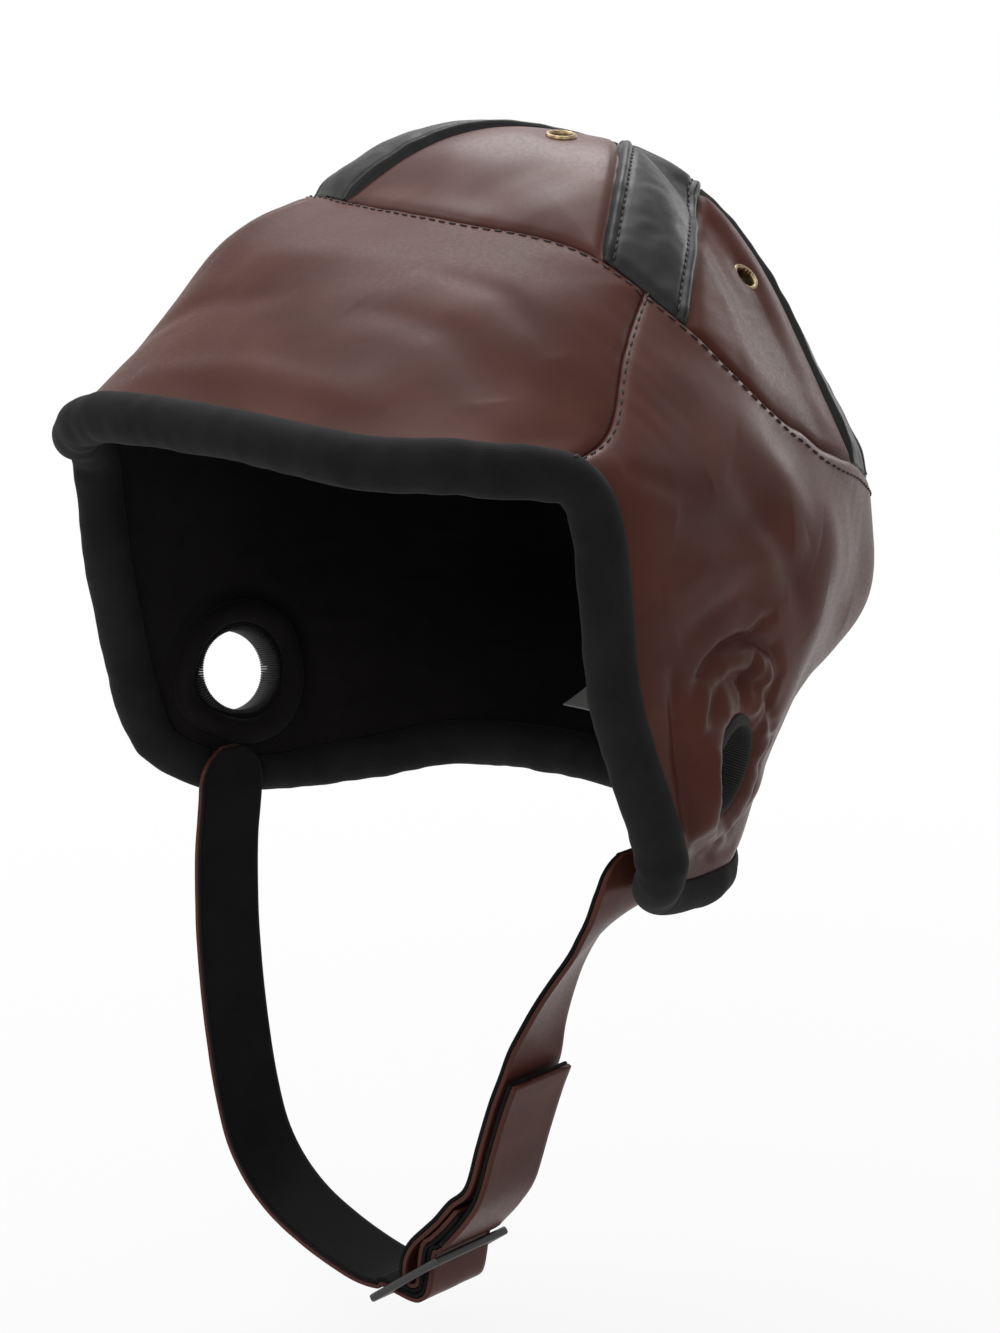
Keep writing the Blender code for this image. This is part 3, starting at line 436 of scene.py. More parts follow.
def labelSatin():
    # woven satin ribbon: pale, with a sheen and fine lengthwise threads
    material, tree, shader = newMaterial("wovenSatinRibbon", Roughness=satinFinish["roughness"],
                                         Sheen_Weight=satinFinish["sheen"],
                                         Base_Color=hexColour(satinFinish["colour"]))
    place = addNode(tree, "ShaderNodeTexCoord").outputs["Object"]
    wave = addNode(tree, "ShaderNodeTexWave", {"Vector": place, "Scale": waveScale(satinFinish["thread"]),
                                               "Distortion": satinFinish["uneven"]}, bands_direction="Z")
    bump = addNode(tree, "ShaderNodeBump", {"Height": wave.outputs["Fac"], "Strength": satinFinish["bump"],
                                            "Distance": satinFinish["bumpHeight"]})
    tree.links.new(bump.outputs["Normal"], shader.inputs["Normal"])
    return material


# one leather as it looks on each part: stretched and glossy on top; on the brow and the crown's left a duller
# copy whose darker colour is painted shade
brownLeather = fauxLeather("brownFauxLeather", "#522d25", "#4a2720", "#5b3329", 0.36, 0.10)
crownLeather = fauxLeather("brownFauxLeatherStretched", "#522d25", "#4a2720", "#5b3329", 0.35, 0.16)
# painted shade: this copy's darker colours and lower gloss keep the brow and the crown's left dark
shadedLeather = fauxLeather("brownFauxLeatherPaintedShade", "#4f2b23", "#47251d", "#573128", 0.40, 0.055)
blackLeather = fauxLeather("blackFauxLeather", "#1c1b1b", "#161515", "#232222", 0.42, 0.16)
bindingCloth = wovenCloth("blackBrushedBinding", "#191919", "#232323", 0.85, 0.5 * mm, 0.02)
liningCloth = wovenCloth("blackLiningCloth", "#151214", "#1b181a", 0.9, 0.4 * mm, 0.03)
strapBacking = wovenCloth("blackStrapBacking", "#0f0d0e", "#161415", 0.92, 0.4 * mm, 0.03)
threadDark = spunThread("spunThreadDark", "#1d1213", 0.7)
threadBlack = spunThread("spunThreadBlack", "#141414", 0.6)
edgingThread = spunThread("edgingThreadBlack", "#1c1a1a", 0.75)
brass, plastic, satin = agedBrass(), mouldedPlastic(), labelSatin()
print("materials ready")

# camera, floor and light
cameraView = {"azimuth": radians(42.0), "elevation": radians(14.5), "distance": 0.8, "aside": 6 * mm,
              "up": 10.5 * mm, "focalPixels": 3328.0, "imageWidth": 1000.0, "sensor": 36.0,
              "clip": (0.05, 20)}


def makeCamera():
    a, e = cameraView["azimuth"], cameraView["elevation"]
    back = Vector((sin(a) * cos(e), -cos(a) * cos(e), sin(e)))
    right = Vector((cos(a), sin(a), 0))
    up = back.cross(right)
    data = bpy.data.cameras.new("photoCamera")
    data.sensor_fit = "HORIZONTAL"
    data.sensor_width = cameraView["sensor"]
    data.lens = cameraView["focalPixels"] / cameraView["imageWidth"] * cameraView["sensor"]
    data.clip_start, data.clip_end = cameraView["clip"]
    camera = addObject("photoCamera", data)
    spot = back * cameraView["distance"] + right * cameraView["aside"] + up * cameraView["up"]
    camera.matrix_world = Matrix((*((right[k], up[k], back[k], spot[k]) for k in range(3)), (0, 0, 0, 1)))
    bpy.context.scene.camera = camera
    return right, up, back


viewRight, viewUp, viewBack = makeCamera()

studio = {
    "floorDrop": 0.02, "floorSize": 6.0, "white": "#ffffff", "paper": "#e9e9e9", "ambient": 0.20,
    # share of plain white in what the camera sees of the floor, by the object and 0.7 m away
    "whiteNear": 0.86, "whiteFar": 1.0, "fadeFrom": 0.12, "fadeTo": 0.7,
    # where the lamps point, and name: (right, up, toward camera) from the object, size in metres, watts
    "aim": (0, 0, 0.03),
    "lamps": {
        "topLamp": ((-0.15, 1.35, -0.05), (1.2, 1.2), 10.5),
        "backLamp": ((0.0, 1.10, -0.66), (0.7, 0.35), 4.8),
        "leftLamp": ((-1.0, 0.95, 0.02), (0.5, 0.5), 2.4),
        "rightLamp": ((0.75, 0.64, -0.92), (0.3, 0.4), 1.6),
        "fillLamp": ((-0.4, 0.55, 1.4), (1.0, 1.0), 6.0),
    },
}


def whiteSeen(tree, share=1.0):
    # how much plain white the camera, mirrors and glass see in place of the lit surface
    path = addNode(tree, "ShaderNodeLightPath")
    seen = path.outputs["Is Camera Ray"]
    for name in ("Is Glossy Ray", "Is Transmission Ray"):
        either = addNode(tree, "ShaderNodeMath", {0: seen, 1: path.outputs[name]}, operation="MAXIMUM")
        seen = either.outputs[0]
    return addNode(tree, "ShaderNodeMath", {0: seen, 1: share}, operation="MULTIPLY").outputs[0]


def whiteOver(tree, shaderSocket, factor, output):
    white = addNode(tree, "ShaderNodeEmission", {"Color": hexColour(studio["white"]), "Strength": 1.0})
    mix = addNode(tree, "ShaderNodeMixShader", {0: factor, 1: shaderSocket, 2: white.outputs[0]})
    tree.links.new(mix.outputs[0], output)


def makeStudio():
    low = cadBox[0][2] - studio["floorDrop"]
    half = studio["floorSize"] / 2
    material, tree, shader = newMaterial("paintedPaper", Roughness=0.9)
    shader.inputs["Base Color"].default_value = hexColour(studio["paper"])
    place = addNode(tree, "ShaderNodeTexCoord").outputs["Object"]
    away = addNode(tree, "ShaderNodeVectorMath", {0: place}, operation="LENGTH").outputs["Value"]
    share = addNode(tree, "ShaderNodeMapRange", {
        "Value": away, "From Min": studio["fadeFrom"], "From Max": studio["fadeTo"],
        "To Min": studio["whiteNear"], "To Max": studio["whiteFar"]}, interpolation_type="SMOOTHSTEP")
    seen = whiteSeen(tree, share.outputs["Result"])
    whiteOver(tree, shader.outputs[0], seen, tree.nodes["Material Output"].inputs["Surface"])
    corners = [(x * half, y * half, low) for x, y in ((-1, -1), (1, -1), (1, 1), (-1, 1))]
    newMesh("studioFloor", corners, [(0, 1, 2, 3)], material)
    world = bpy.data.worlds.new("paleStudio")
    world.use_nodes = True
    bpy.context.scene.world = world
    tree = world.node_tree
    ambient = tree.nodes["Background"]
    ambient.inputs["Color"].default_value = (1, 1, 1, 1)
    ambient.inputs["Strength"].default_value = studio["ambient"]
    whiteOver(tree, ambient.outputs[0], whiteSeen(tree), tree.nodes["World Output"].inputs["Surface"])
    for name, (place, size, power) in studio["lamps"].items():
        data = bpy.data.lights.new(name, "AREA")
        data.shape, data.size, data.size_y, data.energy = "RECTANGLE", size[0], size[1], power
        lamp = addObject(name, data)
        lamp.location = viewRight * place[0] + viewUp * place[1] + viewBack * place[2]
        lamp.rotation_euler = (Vector(studio["aim"]) - lamp.location).to_track_quat("-Z", "Y").to_euler()
    bpy.context.scene.view_settings.view_transform = "Standard"


makeStudio()
print("camera and light ready")

# seams of the wall: station at the crown seam, station at the lower edge
wallSeams = {"left": (1.6116, 2.68), "back": (11.0, 11.0), "right": (20.3884, 19.32)}
wallPanels = {
    "forehead": {"from": wallSeams["right"], "to": tuple(place + ringLength for place in wallSeams["left"]),
                 "cols": 230, "rows": 110},
    "side_left": {"from": wallSeams["left"], "to": wallSeams["back"], "cols": 260, "rows": 170},
    "side_right": {"from": wallSeams["back"], "to": wallSeams["right"], "cols": 230, "rows": 130},
}
panelRelief = {
    # soft fields between seams that dip in, and the binding's side pressed down
    "puff": 0.6 * mm, "puffReach": 9 * mm, "seamDip": 0.8 * mm, "seamWidth": 1.1 * mm, "seamTurn": 4 * mm,
    "edgeDip": 0.5 * mm, "edgeWidth": 8 * mm, "shellDepth": 4.4 * mm,
    # dents and ripples, which stop short of seams and binding
    "dent": 1.1 * mm, "dentSize": 46 * mm, "ripple": 0.30 * mm, "rippleSize": 17 * mm, "calmSeam": 6 * mm,
    "calmEdge": 7 * mm,
    # small folds that run away from a gathered seam, four times as long as they are wide
    "pucker": 0.17 * mm, "puckerPitch": 6.5 * mm, "puckerReach": 11 * mm, "puckerLong": 4,
    "bindingShare": 0.3,
    # how close to binding and seam the creases run
    "creaseEdge": 5 * mm, "creaseSeam": 3 * mm,
}
ear = {
    "left": (5.46, 0.76), "right": (16.35, 0.775), "bore": 10 * mm, "hole": 11.1 * mm, "rim": 3 * mm,
    # a stitched channel, and inside it the padded ring, which rolls up in front of the hole
    "ring": 20.0 * mm, "ringWidth": 1.7 * mm, "ringDip": 1.1 * mm, "seamRing": 21.5 * mm, "puff": 1.4 * mm,
    "roll": 2.8 * mm, "padOut": 4 * mm, "padWidth": 3.4 * mm,
    # puckers across the ring, and the lip that turns into the hole
    "pucker": 0.8 * mm, "puckers": 8, "puckerLength": 14 * mm, "puckerReach": 6 * mm, "funnel": 1.6 * mm,
    "lipWidth": 1.8 * mm, "creaseStop": 12.5 * mm,
}


def earSpot(side):
    u, t = (np.array(c) for c in ear[side])
    return wallPoint(u, t), wallNormal(u, t)


def lengthAlong(points):
    # how far along a line of points each one lies
    return np.concatenate([[0], np.cumsum(np.linalg.norm(np.diff(points, axis=0), axis=-1))])


def evenly(points, count, shares):
    # shares of a line of points that lie at equal distances along it
    length = lengthAlong(points)
    return np.interp(np.linspace(0, length[-1], count), length, shares)


def runLength(points, axis):
    # how far each point of a grid lies along its row or column
    steps = np.linalg.norm(np.diff(points, axis=axis), axis=-1)
    pad = [(0, 0), (0, 0)]
    pad[axis] = (1, 0)
    return np.cumsum(np.pad(steps, pad), axis=axis)


def wallGrid(spec, rows, cols):
    # even grid over one wall panel: points, normals and how far each point is from the panel's four sides
    fine = np.linspace(0, 1, 400)
    (topA, edgeA), (topB, edgeB) = spec["from"], spec["to"]
    middle = 0.55
    top, edge = topA + (topB - topA) * fine, edgeA + (edgeB - edgeA) * fine
    s = evenly(wallPoint(top + (edge - top) * middle, middle), cols, fine)
    t = evenly(wallPoint(topA + (topB - topA) / 2, fine), rows, fine)
    s, t = np.meshgrid(s, t)
    top, edge = topA + (topB - topA) * s, edgeA + (edgeB - edgeA) * s
    u = top + (edge - top) * t
    points = wallPoint(u, t)
    down, run = runLength(points, 0), runLength(points, 1)
    gaps = {"top": down, "bottom": down[-1:] - down, "from": run, "to": run[:, -1:] - run}
    return points, turnedToSeam(wallNormal(u, t), bell(down, panelRelief["seamTurn"]), top), gaps


def puckers(along, away, seed):
    # small folds that run away from a gathered seam and fade
    spec = panelRelief
    spot = np.stack([along, away / spec["puckerLong"], np.zeros_like(along)], axis=-1)
    return spec["pucker"] * softNoise(spot, spec["puckerPitch"], seed) * np.exp(-away / spec["puckerReach"])


def earPlace(points, side):
    # distance from the ear hole's axis, angle round it from the top toward the front, and the way out
    centre, axis = earSpot(side)
    away = points - centre
    flat = away - axis * np.sum(away * axis, axis=-1)[..., None]
    up = unit(np.array([0, 0, 1.0]) - axis * axis[2])
    fore = np.cross(axis, up) * (1 if side == "left" else -1)
    r = np.linalg.norm(flat, axis=-1)
    near = np.linalg.norm(away, axis=-1) < 3 * ear["ring"]
    return np.where(near, r, 1.0), np.arctan2(flat @ fore, flat @ up), flat / np.maximum(r, 1e-9)[..., None]


def earRelief(points):
    # padded ring round each ear hole: stitched channel outside, puckers across, lip that turns into the hole
    relief = np.zeros(points.shape[:-1])
    nearest = np.full(points.shape[:-1], 1.0)
    for side in ("left", "right"):
        r, angle, _ = earPlace(points, side)
        # the ring is sewn a little out of round
        wobble = ear["ring"] * (1 + 0.05 * np.sin(3 * angle + 1.0) + 0.03 * np.sin(7 * angle))
        channel = -ear["ringDip"] * bell(r - wobble, ear["ringWidth"]) * (0.65 + 0.35 * np.cos(angle))
        front = np.clip(np.sin(angle), 0, 1) ** 1.5
        pad = (ear["puff"] + ear["roll"] * front) * bell(r - ear["hole"] - ear["padOut"], ear["padWidth"])
        spot = np.stack([np.cos(angle) * ear["puckers"] / 2, np.sin(angle) * ear["puckers"] / 2,
                         r / ear["puckerLength"]], axis=-1)
        fold = ear["pucker"] * softNoise(spot, 1.0, 5.0) * bell(r - wobble, ear["puckerReach"])
        lip = -ear["funnel"] * (1 - 0.8 * front) * bell(r - ear["bore"], ear["lipWidth"])
        relief += channel + pad + fold + lip
        nearest = np.minimum(nearest, r)
    return relief, nearest


def trimToHoles(points, keep):
    # corners of the kept faces that lie next to a hole are moved onto its circle
    used = np.zeros(points.shape[:2], bool)
    for a, b in product((0, 1), repeat=2):
        used[a:used.shape[0] - 1 + a, b:used.shape[1] - 1 + b] |= ~keep
    moved = points.copy()
    for side in ("left", "right"):
        r, _, way = earPlace(points, side)
        rim = used & (r < ear["hole"] + ear["rim"])
        moved = np.where(rim[..., None], points + way * (ear["hole"] - r)[..., None], moved)
    return moved


# creases and soft rolls of the side and brow leather: points as (station, depth), height and width in mm
creases = {
    "side_left": [
        # arch over the ear hole with the full leather under it
        (((4.41, 0.84), (4.43, 0.77), (4.51, 0.712), (4.68, 0.646), (4.9, 0.587), (5.27, 0.54),
          (5.69, 0.538)), -2.6, 1.7),
        (((4.62, 0.74), (4.80, 0.665), (5.05, 0.61), (5.40, 0.59), (5.80, 0.60)), 1.5, 2.8),
        # roll between the binding and the hole, and the crease on each side of it
        (((4.50, 0.78), (4.58, 0.83), (4.69, 0.865), (4.90, 0.90), (5.30, 0.93)), 3.0, 3.4),
        (((4.10, 0.865), (4.32, 0.885), (4.55, 0.905), (4.85, 0.935), (5.15, 0.955)), -1.3, 1.8),
        # folds from the arch into the hole
        (((4.96, 0.59), (5.04, 0.625), (5.10, 0.66), (5.12, 0.70)), -1.7, 1.4),
        (((5.25, 0.56), (5.34, 0.60), (5.36, 0.65), (5.34, 0.69)), 1.2, 1.7),
        (((5.58, 0.545), (5.68, 0.591), (5.64, 0.64), (5.70, 0.69)), -1.6, 1.5),
        (((4.80, 0.61), (4.84, 0.575), (4.88, 0.54), (5.0, 0.50)), -1.1, 1.4),
        # broad hollows and drags before the arch
        (((3.29, 0.758), (3.52, 0.654), (3.83, 0.537), (4.12, 0.408), (4.5, 0.33)), -1.2, 5.0),
        (((3.67, 0.861), (3.85, 0.697), (4.27, 0.509), (4.93, 0.298)), 0.9, 4.0),
        (((4.01, 0.83), (4.20, 0.70), (4.38, 0.608), (5.04, 0.444)), -0.8, 2.6),
        (((5.95, 0.70), (6.35, 0.62), (6.9, 0.56)), -1.2, 2.4),
        (((6.05, 0.82), (6.6, 0.78), (7.3, 0.76)), 1.0, 3.2),
        (((5.85, 0.90), (6.3, 0.90), (6.9, 0.92)), -0.9, 2.2),
        (((3.3, 0.46), (4.1, 0.42), (5.0, 0.41), (5.9, 0.44)), -0.8, 4.0),
        (((3.2, 0.30), (4.2, 0.25), (5.4, 0.27)), 0.8, 6.5),
        (((6.0, 0.36), (7.0, 0.33), (8.2, 0.36)), -0.9, 5.0),
        (((7.4, 0.62), (8.3, 0.55), (9.4, 0.56)), -0.8, 4.5),
        (((8.6, 0.80), (9.6, 0.74), (10.6, 0.78)), 0.8, 5.0),
        (((2.85, 0.86), (3.1, 0.72), (3.25, 0.56)), -0.7, 2.6),
    ],
    "side_right": [
        (((17.4, 0.72), (17.2, 0.60), (16.7, 0.55), (16.1, 0.55), (15.7, 0.62)), -1.8, 2.6),
        (((17.4, 0.66), (17.0, 0.55), (16.3, 0.50), (15.6, 0.54)), 1.3, 4.0),
        (((15.8, 0.74), (15.2, 0.66), (14.6, 0.62)), -1.1, 2.4),
        (((15.9, 0.90), (15.3, 0.88), (14.6, 0.90)), 0.9, 3.0),
        (((18.6, 0.44), (17.6, 0.40), (16.6, 0.41)), -0.8, 4.5),
        (((13.8, 0.60), (13.0, 0.54), (12.1, 0.57)), -0.8, 4.5),
        (((16.2, 0.30), (14.8, 0.33), (13.6, 0.36)), 0.8, 6.0),
    ],
    "forehead": [
        # faint diagonal drags from the corners of the brow
        (((20.1, 0.78), (20.9, 0.58), (21.7, 0.50)), -0.7, 5.0),
        (((23.5, 0.75), (22.9, 0.55), (22.2, 0.50)), -0.8, 5.5),
        (((20.5, 0.45), (21.6, 0.30), (22.6, 0.26)), 0.7, 8.0),
        (((23.6, 0.50), (23.0, 0.36), (22.3, 0.30)), -0.6, 4.0),
        (((21.0, 0.86), (21.9, 0.80), (22.9, 0.84)), 0.6, 5.0),
    ],
}


def creaseRelief(name, points):
    relief = np.zeros(points.shape[:-1])
    for path, height, width in creases[name]:
        fine = np.linspace(0, len(path) - 1, 24)
        u, t = (np.interp(fine, np.arange(len(path)), [spot[k] for spot in path]) for k in (0, 1))
        gap, share = pathDistance(points, wallPoint(u, t))
        relief += height * mm * np.sin(np.clip(share, 0, 1) * pi) ** 0.6 * bell(gap, width * mm)
    return relief


def seamedHeight(seams, puff):
    # height over the shaping surface of a soft field with its sewn edges drawn in
    spec = panelRelief
    return (capShape["outer"] + puff * (1 - np.exp(-seams / spec["puffReach"]))
            - spec["seamDip"] * np.exp(-(seams / spec["seamWidth"]) ** 1.4))


def panelHeight(points, gaps, seams, seed):
    spec = panelRelief
    height = seamedHeight(seams, spec["puff"])
    free = 1 - bell(gaps["bottom"], spec["calmEdge"])
    calm = 1 - bell(seams, spec["calmSeam"])
    height += spec["dent"] * softNoise(points, spec["dentSize"], seed) * free * calm
    height += spec["ripple"] * softNoise(points, spec["rippleSize"], seed + 3) * free * calm
    height += puckers(gaps["from"], gaps["top"], seed + 5) * free
    height += puckers(gaps["top"], gaps["from"], seed + 7) * free
    height += puckers(gaps["top"], gaps["to"], seed + 9) * free
    height += puckers(gaps["from"], gaps["bottom"], seed + 11) * spec["bindingShare"] * free
    return height - spec["edgeDip"] * bell(gaps["bottom"], spec["edgeWidth"])


def makeWall():
    for k, (name, spec) in enumerate(wallPanels.items()):
        points, normals, gaps = wallGrid(spec, spec["rows"], spec["cols"])
        seams = np.minimum(np.minimum(gaps["from"], gaps["to"]), gaps["top"])
        height = panelHeight(points, gaps, seams, 1.7 * k)
        relief, nearest = earRelief(points)
        calm = 1 - bell(gaps["bottom"], panelRelief["creaseEdge"])
        calm *= 1 - bell(seams, panelRelief["creaseSeam"])
        fromHole = 1 - np.exp(-(nearest / ear["creaseStop"]) ** 6)
        height += (relief + creaseRelief(name, points) * fromHole) * calm
        keep = nearest[:-1, :-1] > ear["hole"]
        points = trimToHoles(points, keep)
        outer = points + normals * height[..., None]
        inner = points + normals * (capShape["outer"] - panelRelief["shellDepth"])
        # the brow takes the leather copy darkened with painted shade
        panel = shell(f"{name}Panel", outer, inner, shadedLeather if name == "forehead" else brownLeather, keep)
        finishPiece(panel, "cap", "brown_faux_leather", f"{name}_panel", f"{name}_foam")


makeWall()
print("wall panels ready")

# crown: four wedges between four strip arms, which leave the place where they cross
stripCentre = np.array([0, capShape["stripCentre"]])
arms = {name: np.array([side * sin(angle), along * cos(angle)]) for name, side, along, angle in (
    ("frontLeft", 1, -1, capShape["stripFront"]), ("backLeft", 1, 1, capShape["stripBack"]),
    ("backRight", -1, 1, capShape["stripBack"]), ("frontRight", -1, -1, capShape["stripFront"]))}
wedges = {"front": ("frontRight", "frontLeft"), "left": ("frontLeft", "backLeft"),
          "back": ("backLeft", "backRight"), "right": ("backRight", "frontRight")}
eyelet = {
    "distance": 13.5 * mm, "bore": 2.55 * mm, "flange": 3.9 * mm, "hole": 3.0 * mm, "dimple": 0.8 * mm,
    "dimpleWidth": 4.5 * mm, "wall": 0.5 * mm, "lap": 0.1 * mm, "sunk": 0.3 * mm,
    # outer flange and inner washer: height above and below the shaping surface, and how high each is rolled
    "top": 1.5 * mm, "topRoll": 0.95 * mm, "foot": -6.6 * mm, "footRoll": 0.6 * mm,
}
crownGrid = {"rows": 110, "cols": 120, "under": 1.6 * mm, "firstShare": 0.004, "puff": 0.78 * mm,
             "dent": 0.99 * mm, "dentSize": 34 * mm, "stripPuckerShare": 0.5}


def turnedOut(way):
    return np.array([-way[1], way[0]])


def slantOf(name):
    # the way out of a wedge's corner between its arms, and the sine of its angle to either arm
    way = unit(arms[wedges[name][0]] + arms[wedges[name][1]])
    near = arms[wedges[name][0]]
    return way, abs(near[0] * way[1] - near[1] * way[0])


def rimDistance(way, offset):
    # how far along a line beside an arm's middle the seam ring lies
    offset = np.asarray(offset, float)
    near, far = np.zeros_like(offset), np.full_like(offset, 2 * capShape["halfLength"])
    for _ in range(40):
        middle = (near + far) / 2
        spot = stripCentre + turnedOut(way) * offset[..., None] + way * middle[..., None]
        inside = crownShare(spot[..., 0], spot[..., 1])[0] < 1
        near, far = np.where(inside, middle, near), np.where(inside, far, middle)
    return near


def rimStation(way, offset):
    spot = stripCentre + turnedOut(way) * offset + way * rimDistance(way, offset)[..., None]
    return float(crownShare(spot[..., 0], spot[..., 1])[2])


def stripGap(x, y):
    # plan distance from the nearest strip edge
    away = np.stack([x, y], axis=-1) - stripCentre
    fromMiddle = np.linalg.norm(away, axis=-1)
    gaps = [np.where(away @ way > 0, abs(away[..., 0] * way[1] - away[..., 1] * way[0]), fromMiddle)
            for way in arms.values()]
    return np.min(gaps, axis=0) - capShape["stripHalf"]


def eyeletPlan(name):
    way, slant = slantOf(name)
    return stripCentre + way * ((capShape["stripHalf"] + eyelet["distance"]) / slant)


def makeCrown():
    spec = panelRelief
    half = capShape["stripHalf"] - crownGrid["under"]
    shares = np.linspace(crownGrid["firstShare"], 1, crownGrid["rows"])[:, None]
    for k, (name, (first, last)) in enumerate(wedges.items()):
        ends = [rimStation(arms[first], half), rimStation(arms[last], -half)]
        if ends[1] < ends[0]:
            ends[1] += ringLength
        stations = np.linspace(*ends, crownGrid["cols"])
        rim = alongRing(rings[0], stations)
        way, slant = slantOf(name)
        corner = stripCentre + way * (half / slant)
        x, y = (corner[c] + (rim[None, :, c] - corner[c]) * shares for c in (0, 1))
        points = crownPoint(x, y)
        down, run = runLength(points, 0), runLength(points, 1)
        toRim = down[-1:] - down
        normals = turnedToSeam(crownNormal(x, y), bell(toRim, spec["seamTurn"]), stations)
        strip = np.maximum(stripGap(x, y), 0)
        seams = np.minimum(toRim, strip)
        height = seamedHeight(seams, crownGrid["puff"])
        calm = 1 - bell(seams, spec["calmSeam"])
        height += crownGrid["dent"] * softNoise(points, crownGrid["dentSize"], 20 + k) * calm
        height += spec["ripple"] * softNoise(points, spec["rippleSize"], 25 + k) * calm
        height += puckers(run, toRim, 30 + k)
        height += crownGrid["stripPuckerShare"] * puckers(down, strip, 34 + k)
        eye = crownPoint(*(np.array(c) for c in eyeletPlan(name)))
        gap = np.linalg.norm(points - eye, axis=-1)
        height -= eyelet["dimple"] * bell(gap, eyelet["dimpleWidth"])
        outer = points + normals * height[..., None]
        inner = points + normals * (capShape["outer"] - spec["shellDepth"])
        # the crown's left takes the leather copy darkened with painted shade
        leather = shadedLeather if name == "left" else crownLeather
        panel = shell(f"crown{name.capitalize()}Panel", outer, inner, leather, gap[:-1, :-1] > eyelet["hole"])
        # the foam under all four panels goes with the first of them
        nodes = [f"crown_{name}_panel"] + ["crown_foam"] * (k == 0)
        finishPiece(panel, "cap", "brown_faux_leather", *nodes)


makeCrown()
print("crown panels ready")

strips = {
    # raised turned edges with a stitched groove inside them
    "stand": 0.9 * mm, "stitchIn": 3.2 * mm, "groove": 0.45 * mm, "grooveWidth": 0.6 * mm, "roll": 0.45 * mm,
    "rollIn": 1.7 * mm, "rollWidth": 1.0 * mm, "edgeDrop": 1.9 * mm, "edgeReach": 0.9 * mm, "depth": 2.2 * mm,
    "wave": 0.3 * mm, "waveSize": 14 * mm, "ripple": 0.18 * mm, "rippleSize": 5 * mm,
    # ends that dip into the crown seam, and the arms' inner ends tucked under the long strip
    "endTurn": 3 * mm, "endDip": 1.2 * mm, "endWidth": 1.6 * mm, "tucked": 0.4 * mm, "behind": 2 * mm,
    "bend": 14 * mm, "across": 57, "along": 260,
}


def stripHeight(v, seed, points):
    side = capShape["stripHalf"] - abs(v)
    height = capShape["outer"] + strips["stand"]
    height = height + strips["roll"] * bell(side - strips["rollIn"], strips["rollWidth"])
    height = height - strips["groove"] * bell(side - strips["stitchIn"], strips["grooveWidth"])
    height = height - strips["edgeDrop"] * bell(side, strips["edgeReach"])
    return (height + strips["wave"] * softNoise(points, strips["waveSize"], seed)
            + strips["ripple"] * softNoise(points, strips["rippleSize"], seed + 1))


def stripPlan(first, last, v, shares):
    # plan points of the long strip: in along one arm, round a soft bend and out along the other
    first, last = arms[first], arms[last]
    reach = [rimDistance(first, -v), rimDistance(last, v)]
    along = -reach[0] + (reach[0] + reach[1]) * shares
    f = np.clip((along / strips["bend"] + 1) / 2, 0, 1)[..., None]
    straight = np.where(along[..., None] < 0, first * -along[..., None], last * along[..., None])
    start, end = first * strips["bend"], last * strips["bend"]
    curve = start * (1 - f) ** 2 + end * f ** 2
    middle = np.where(abs(along[..., None]) < strips["bend"], curve, straight)
    heading = unit(-first * (1 - f) + last * f)
    aside = np.stack([-heading[..., 1], heading[..., 0]], axis=-1)
    return stripCentre + middle + aside * v[..., None], along + reach[0], reach[1] - along


def armPlan(name, v, shares):
    # plan points of a crossing arm, from under the long strip's edge out to the seam
    way = arms[name]
    far = rimDistance(way, v)
    start = np.zeros_like(v)
    for other in (arms["frontLeft"], arms["backRight"]):
        # where this line leaves the band beside the other arm
        cross = way[0] * other[1] - way[1] * other[0]
        lean = turnedOut(way)[0] * other[1] - turnedOut(way)[1] * other[0]
        for edge in (-1, 1):
            leave = (edge * (capShape["stripHalf"] - strips["tucked"]) - v * lean) / cross
            spot = turnedOut(way) * v[..., None] + way * leave[..., None]
            start = np.where((spot @ other > -strips["behind"]) & (leave > start), leave, start)
    along = start + (far - start) * shares
    return stripCentre + turnedOut(way) * v[..., None] + way * along[..., None], along - start, far - along


def stripPiece(name, plan, v, bothEnds, seed, node):
    spot, fromStart, toEnd = plan
    x, y = spot[..., 0], spot[..., 1]
    points = crownPoint(x, y)
    rims = np.minimum(toEnd, fromStart) if bothEnds else toEnd
    normals = turnedToSeam(crownNormal(x, y), bell(rims, strips["endTurn"]), crownShare(x, y)[2])
    height = stripHeight(np.broadcast_to(v, x.shape), seed, points)
    height -= strips["endDip"] * bell(rims, strips["endWidth"])
    outer = points + normals * height[..., None]
    inner = points + normals * (capShape["outer"] - strips["depth"])
    piece = shell(name, outer[:, ::-1], inner[:, ::-1], blackLeather)
    finishPiece(piece, "cap", "black_faux_leather", node)


def makeStrips():
    v = np.linspace(-capShape["stripHalf"], capShape["stripHalf"], strips["across"])[None]
    shares = np.linspace(0, 1, strips["along"])[:, None]
    whole = stripPlan("frontLeft", "backRight", v, shares)
    stripPiece("crownStripLong", whole, v, True, 50, "crown_strip_long")
    for side, seed, node in (("frontRight", 54, "front_right"), ("backLeft", 58, "back_left")):
        name = f"crownStrip{side[0].upper()}{side[1:]}"
        stripPiece(name, armPlan(side, v, shares), v, False, seed, f"crown_strip_{node}")


makeStrips()
print("crown strips ready")

lining = {
    "gap": 0.2 * mm, "holeLap": 0.1 * mm, "wave": 0.7 * mm, "waveSize": 24 * mm, "calmEdge": 7 * mm,
    "fold": 0.9 * mm, "foldSize": 9 * mm, "foldFrom": 0.35, "foldSquash": (1, 1, 2.2),
    # stitched lines draw the lining in round the ear rings and along the seams
    "ringDip": 0.8 * mm, "seamDip": 0.5 * mm, "stitchWidth": 1.2 * mm,
    "crownWave": 0.4 * mm, "crownWaveSize": 26 * mm, "crownRows": 80, "crownCols": 240, "firstShare": 0.002,
    "seamShare": 1 / 16,
}
liningOuter = capShape["outer"] - panelRelief["shellDepth"] - lining["gap"]


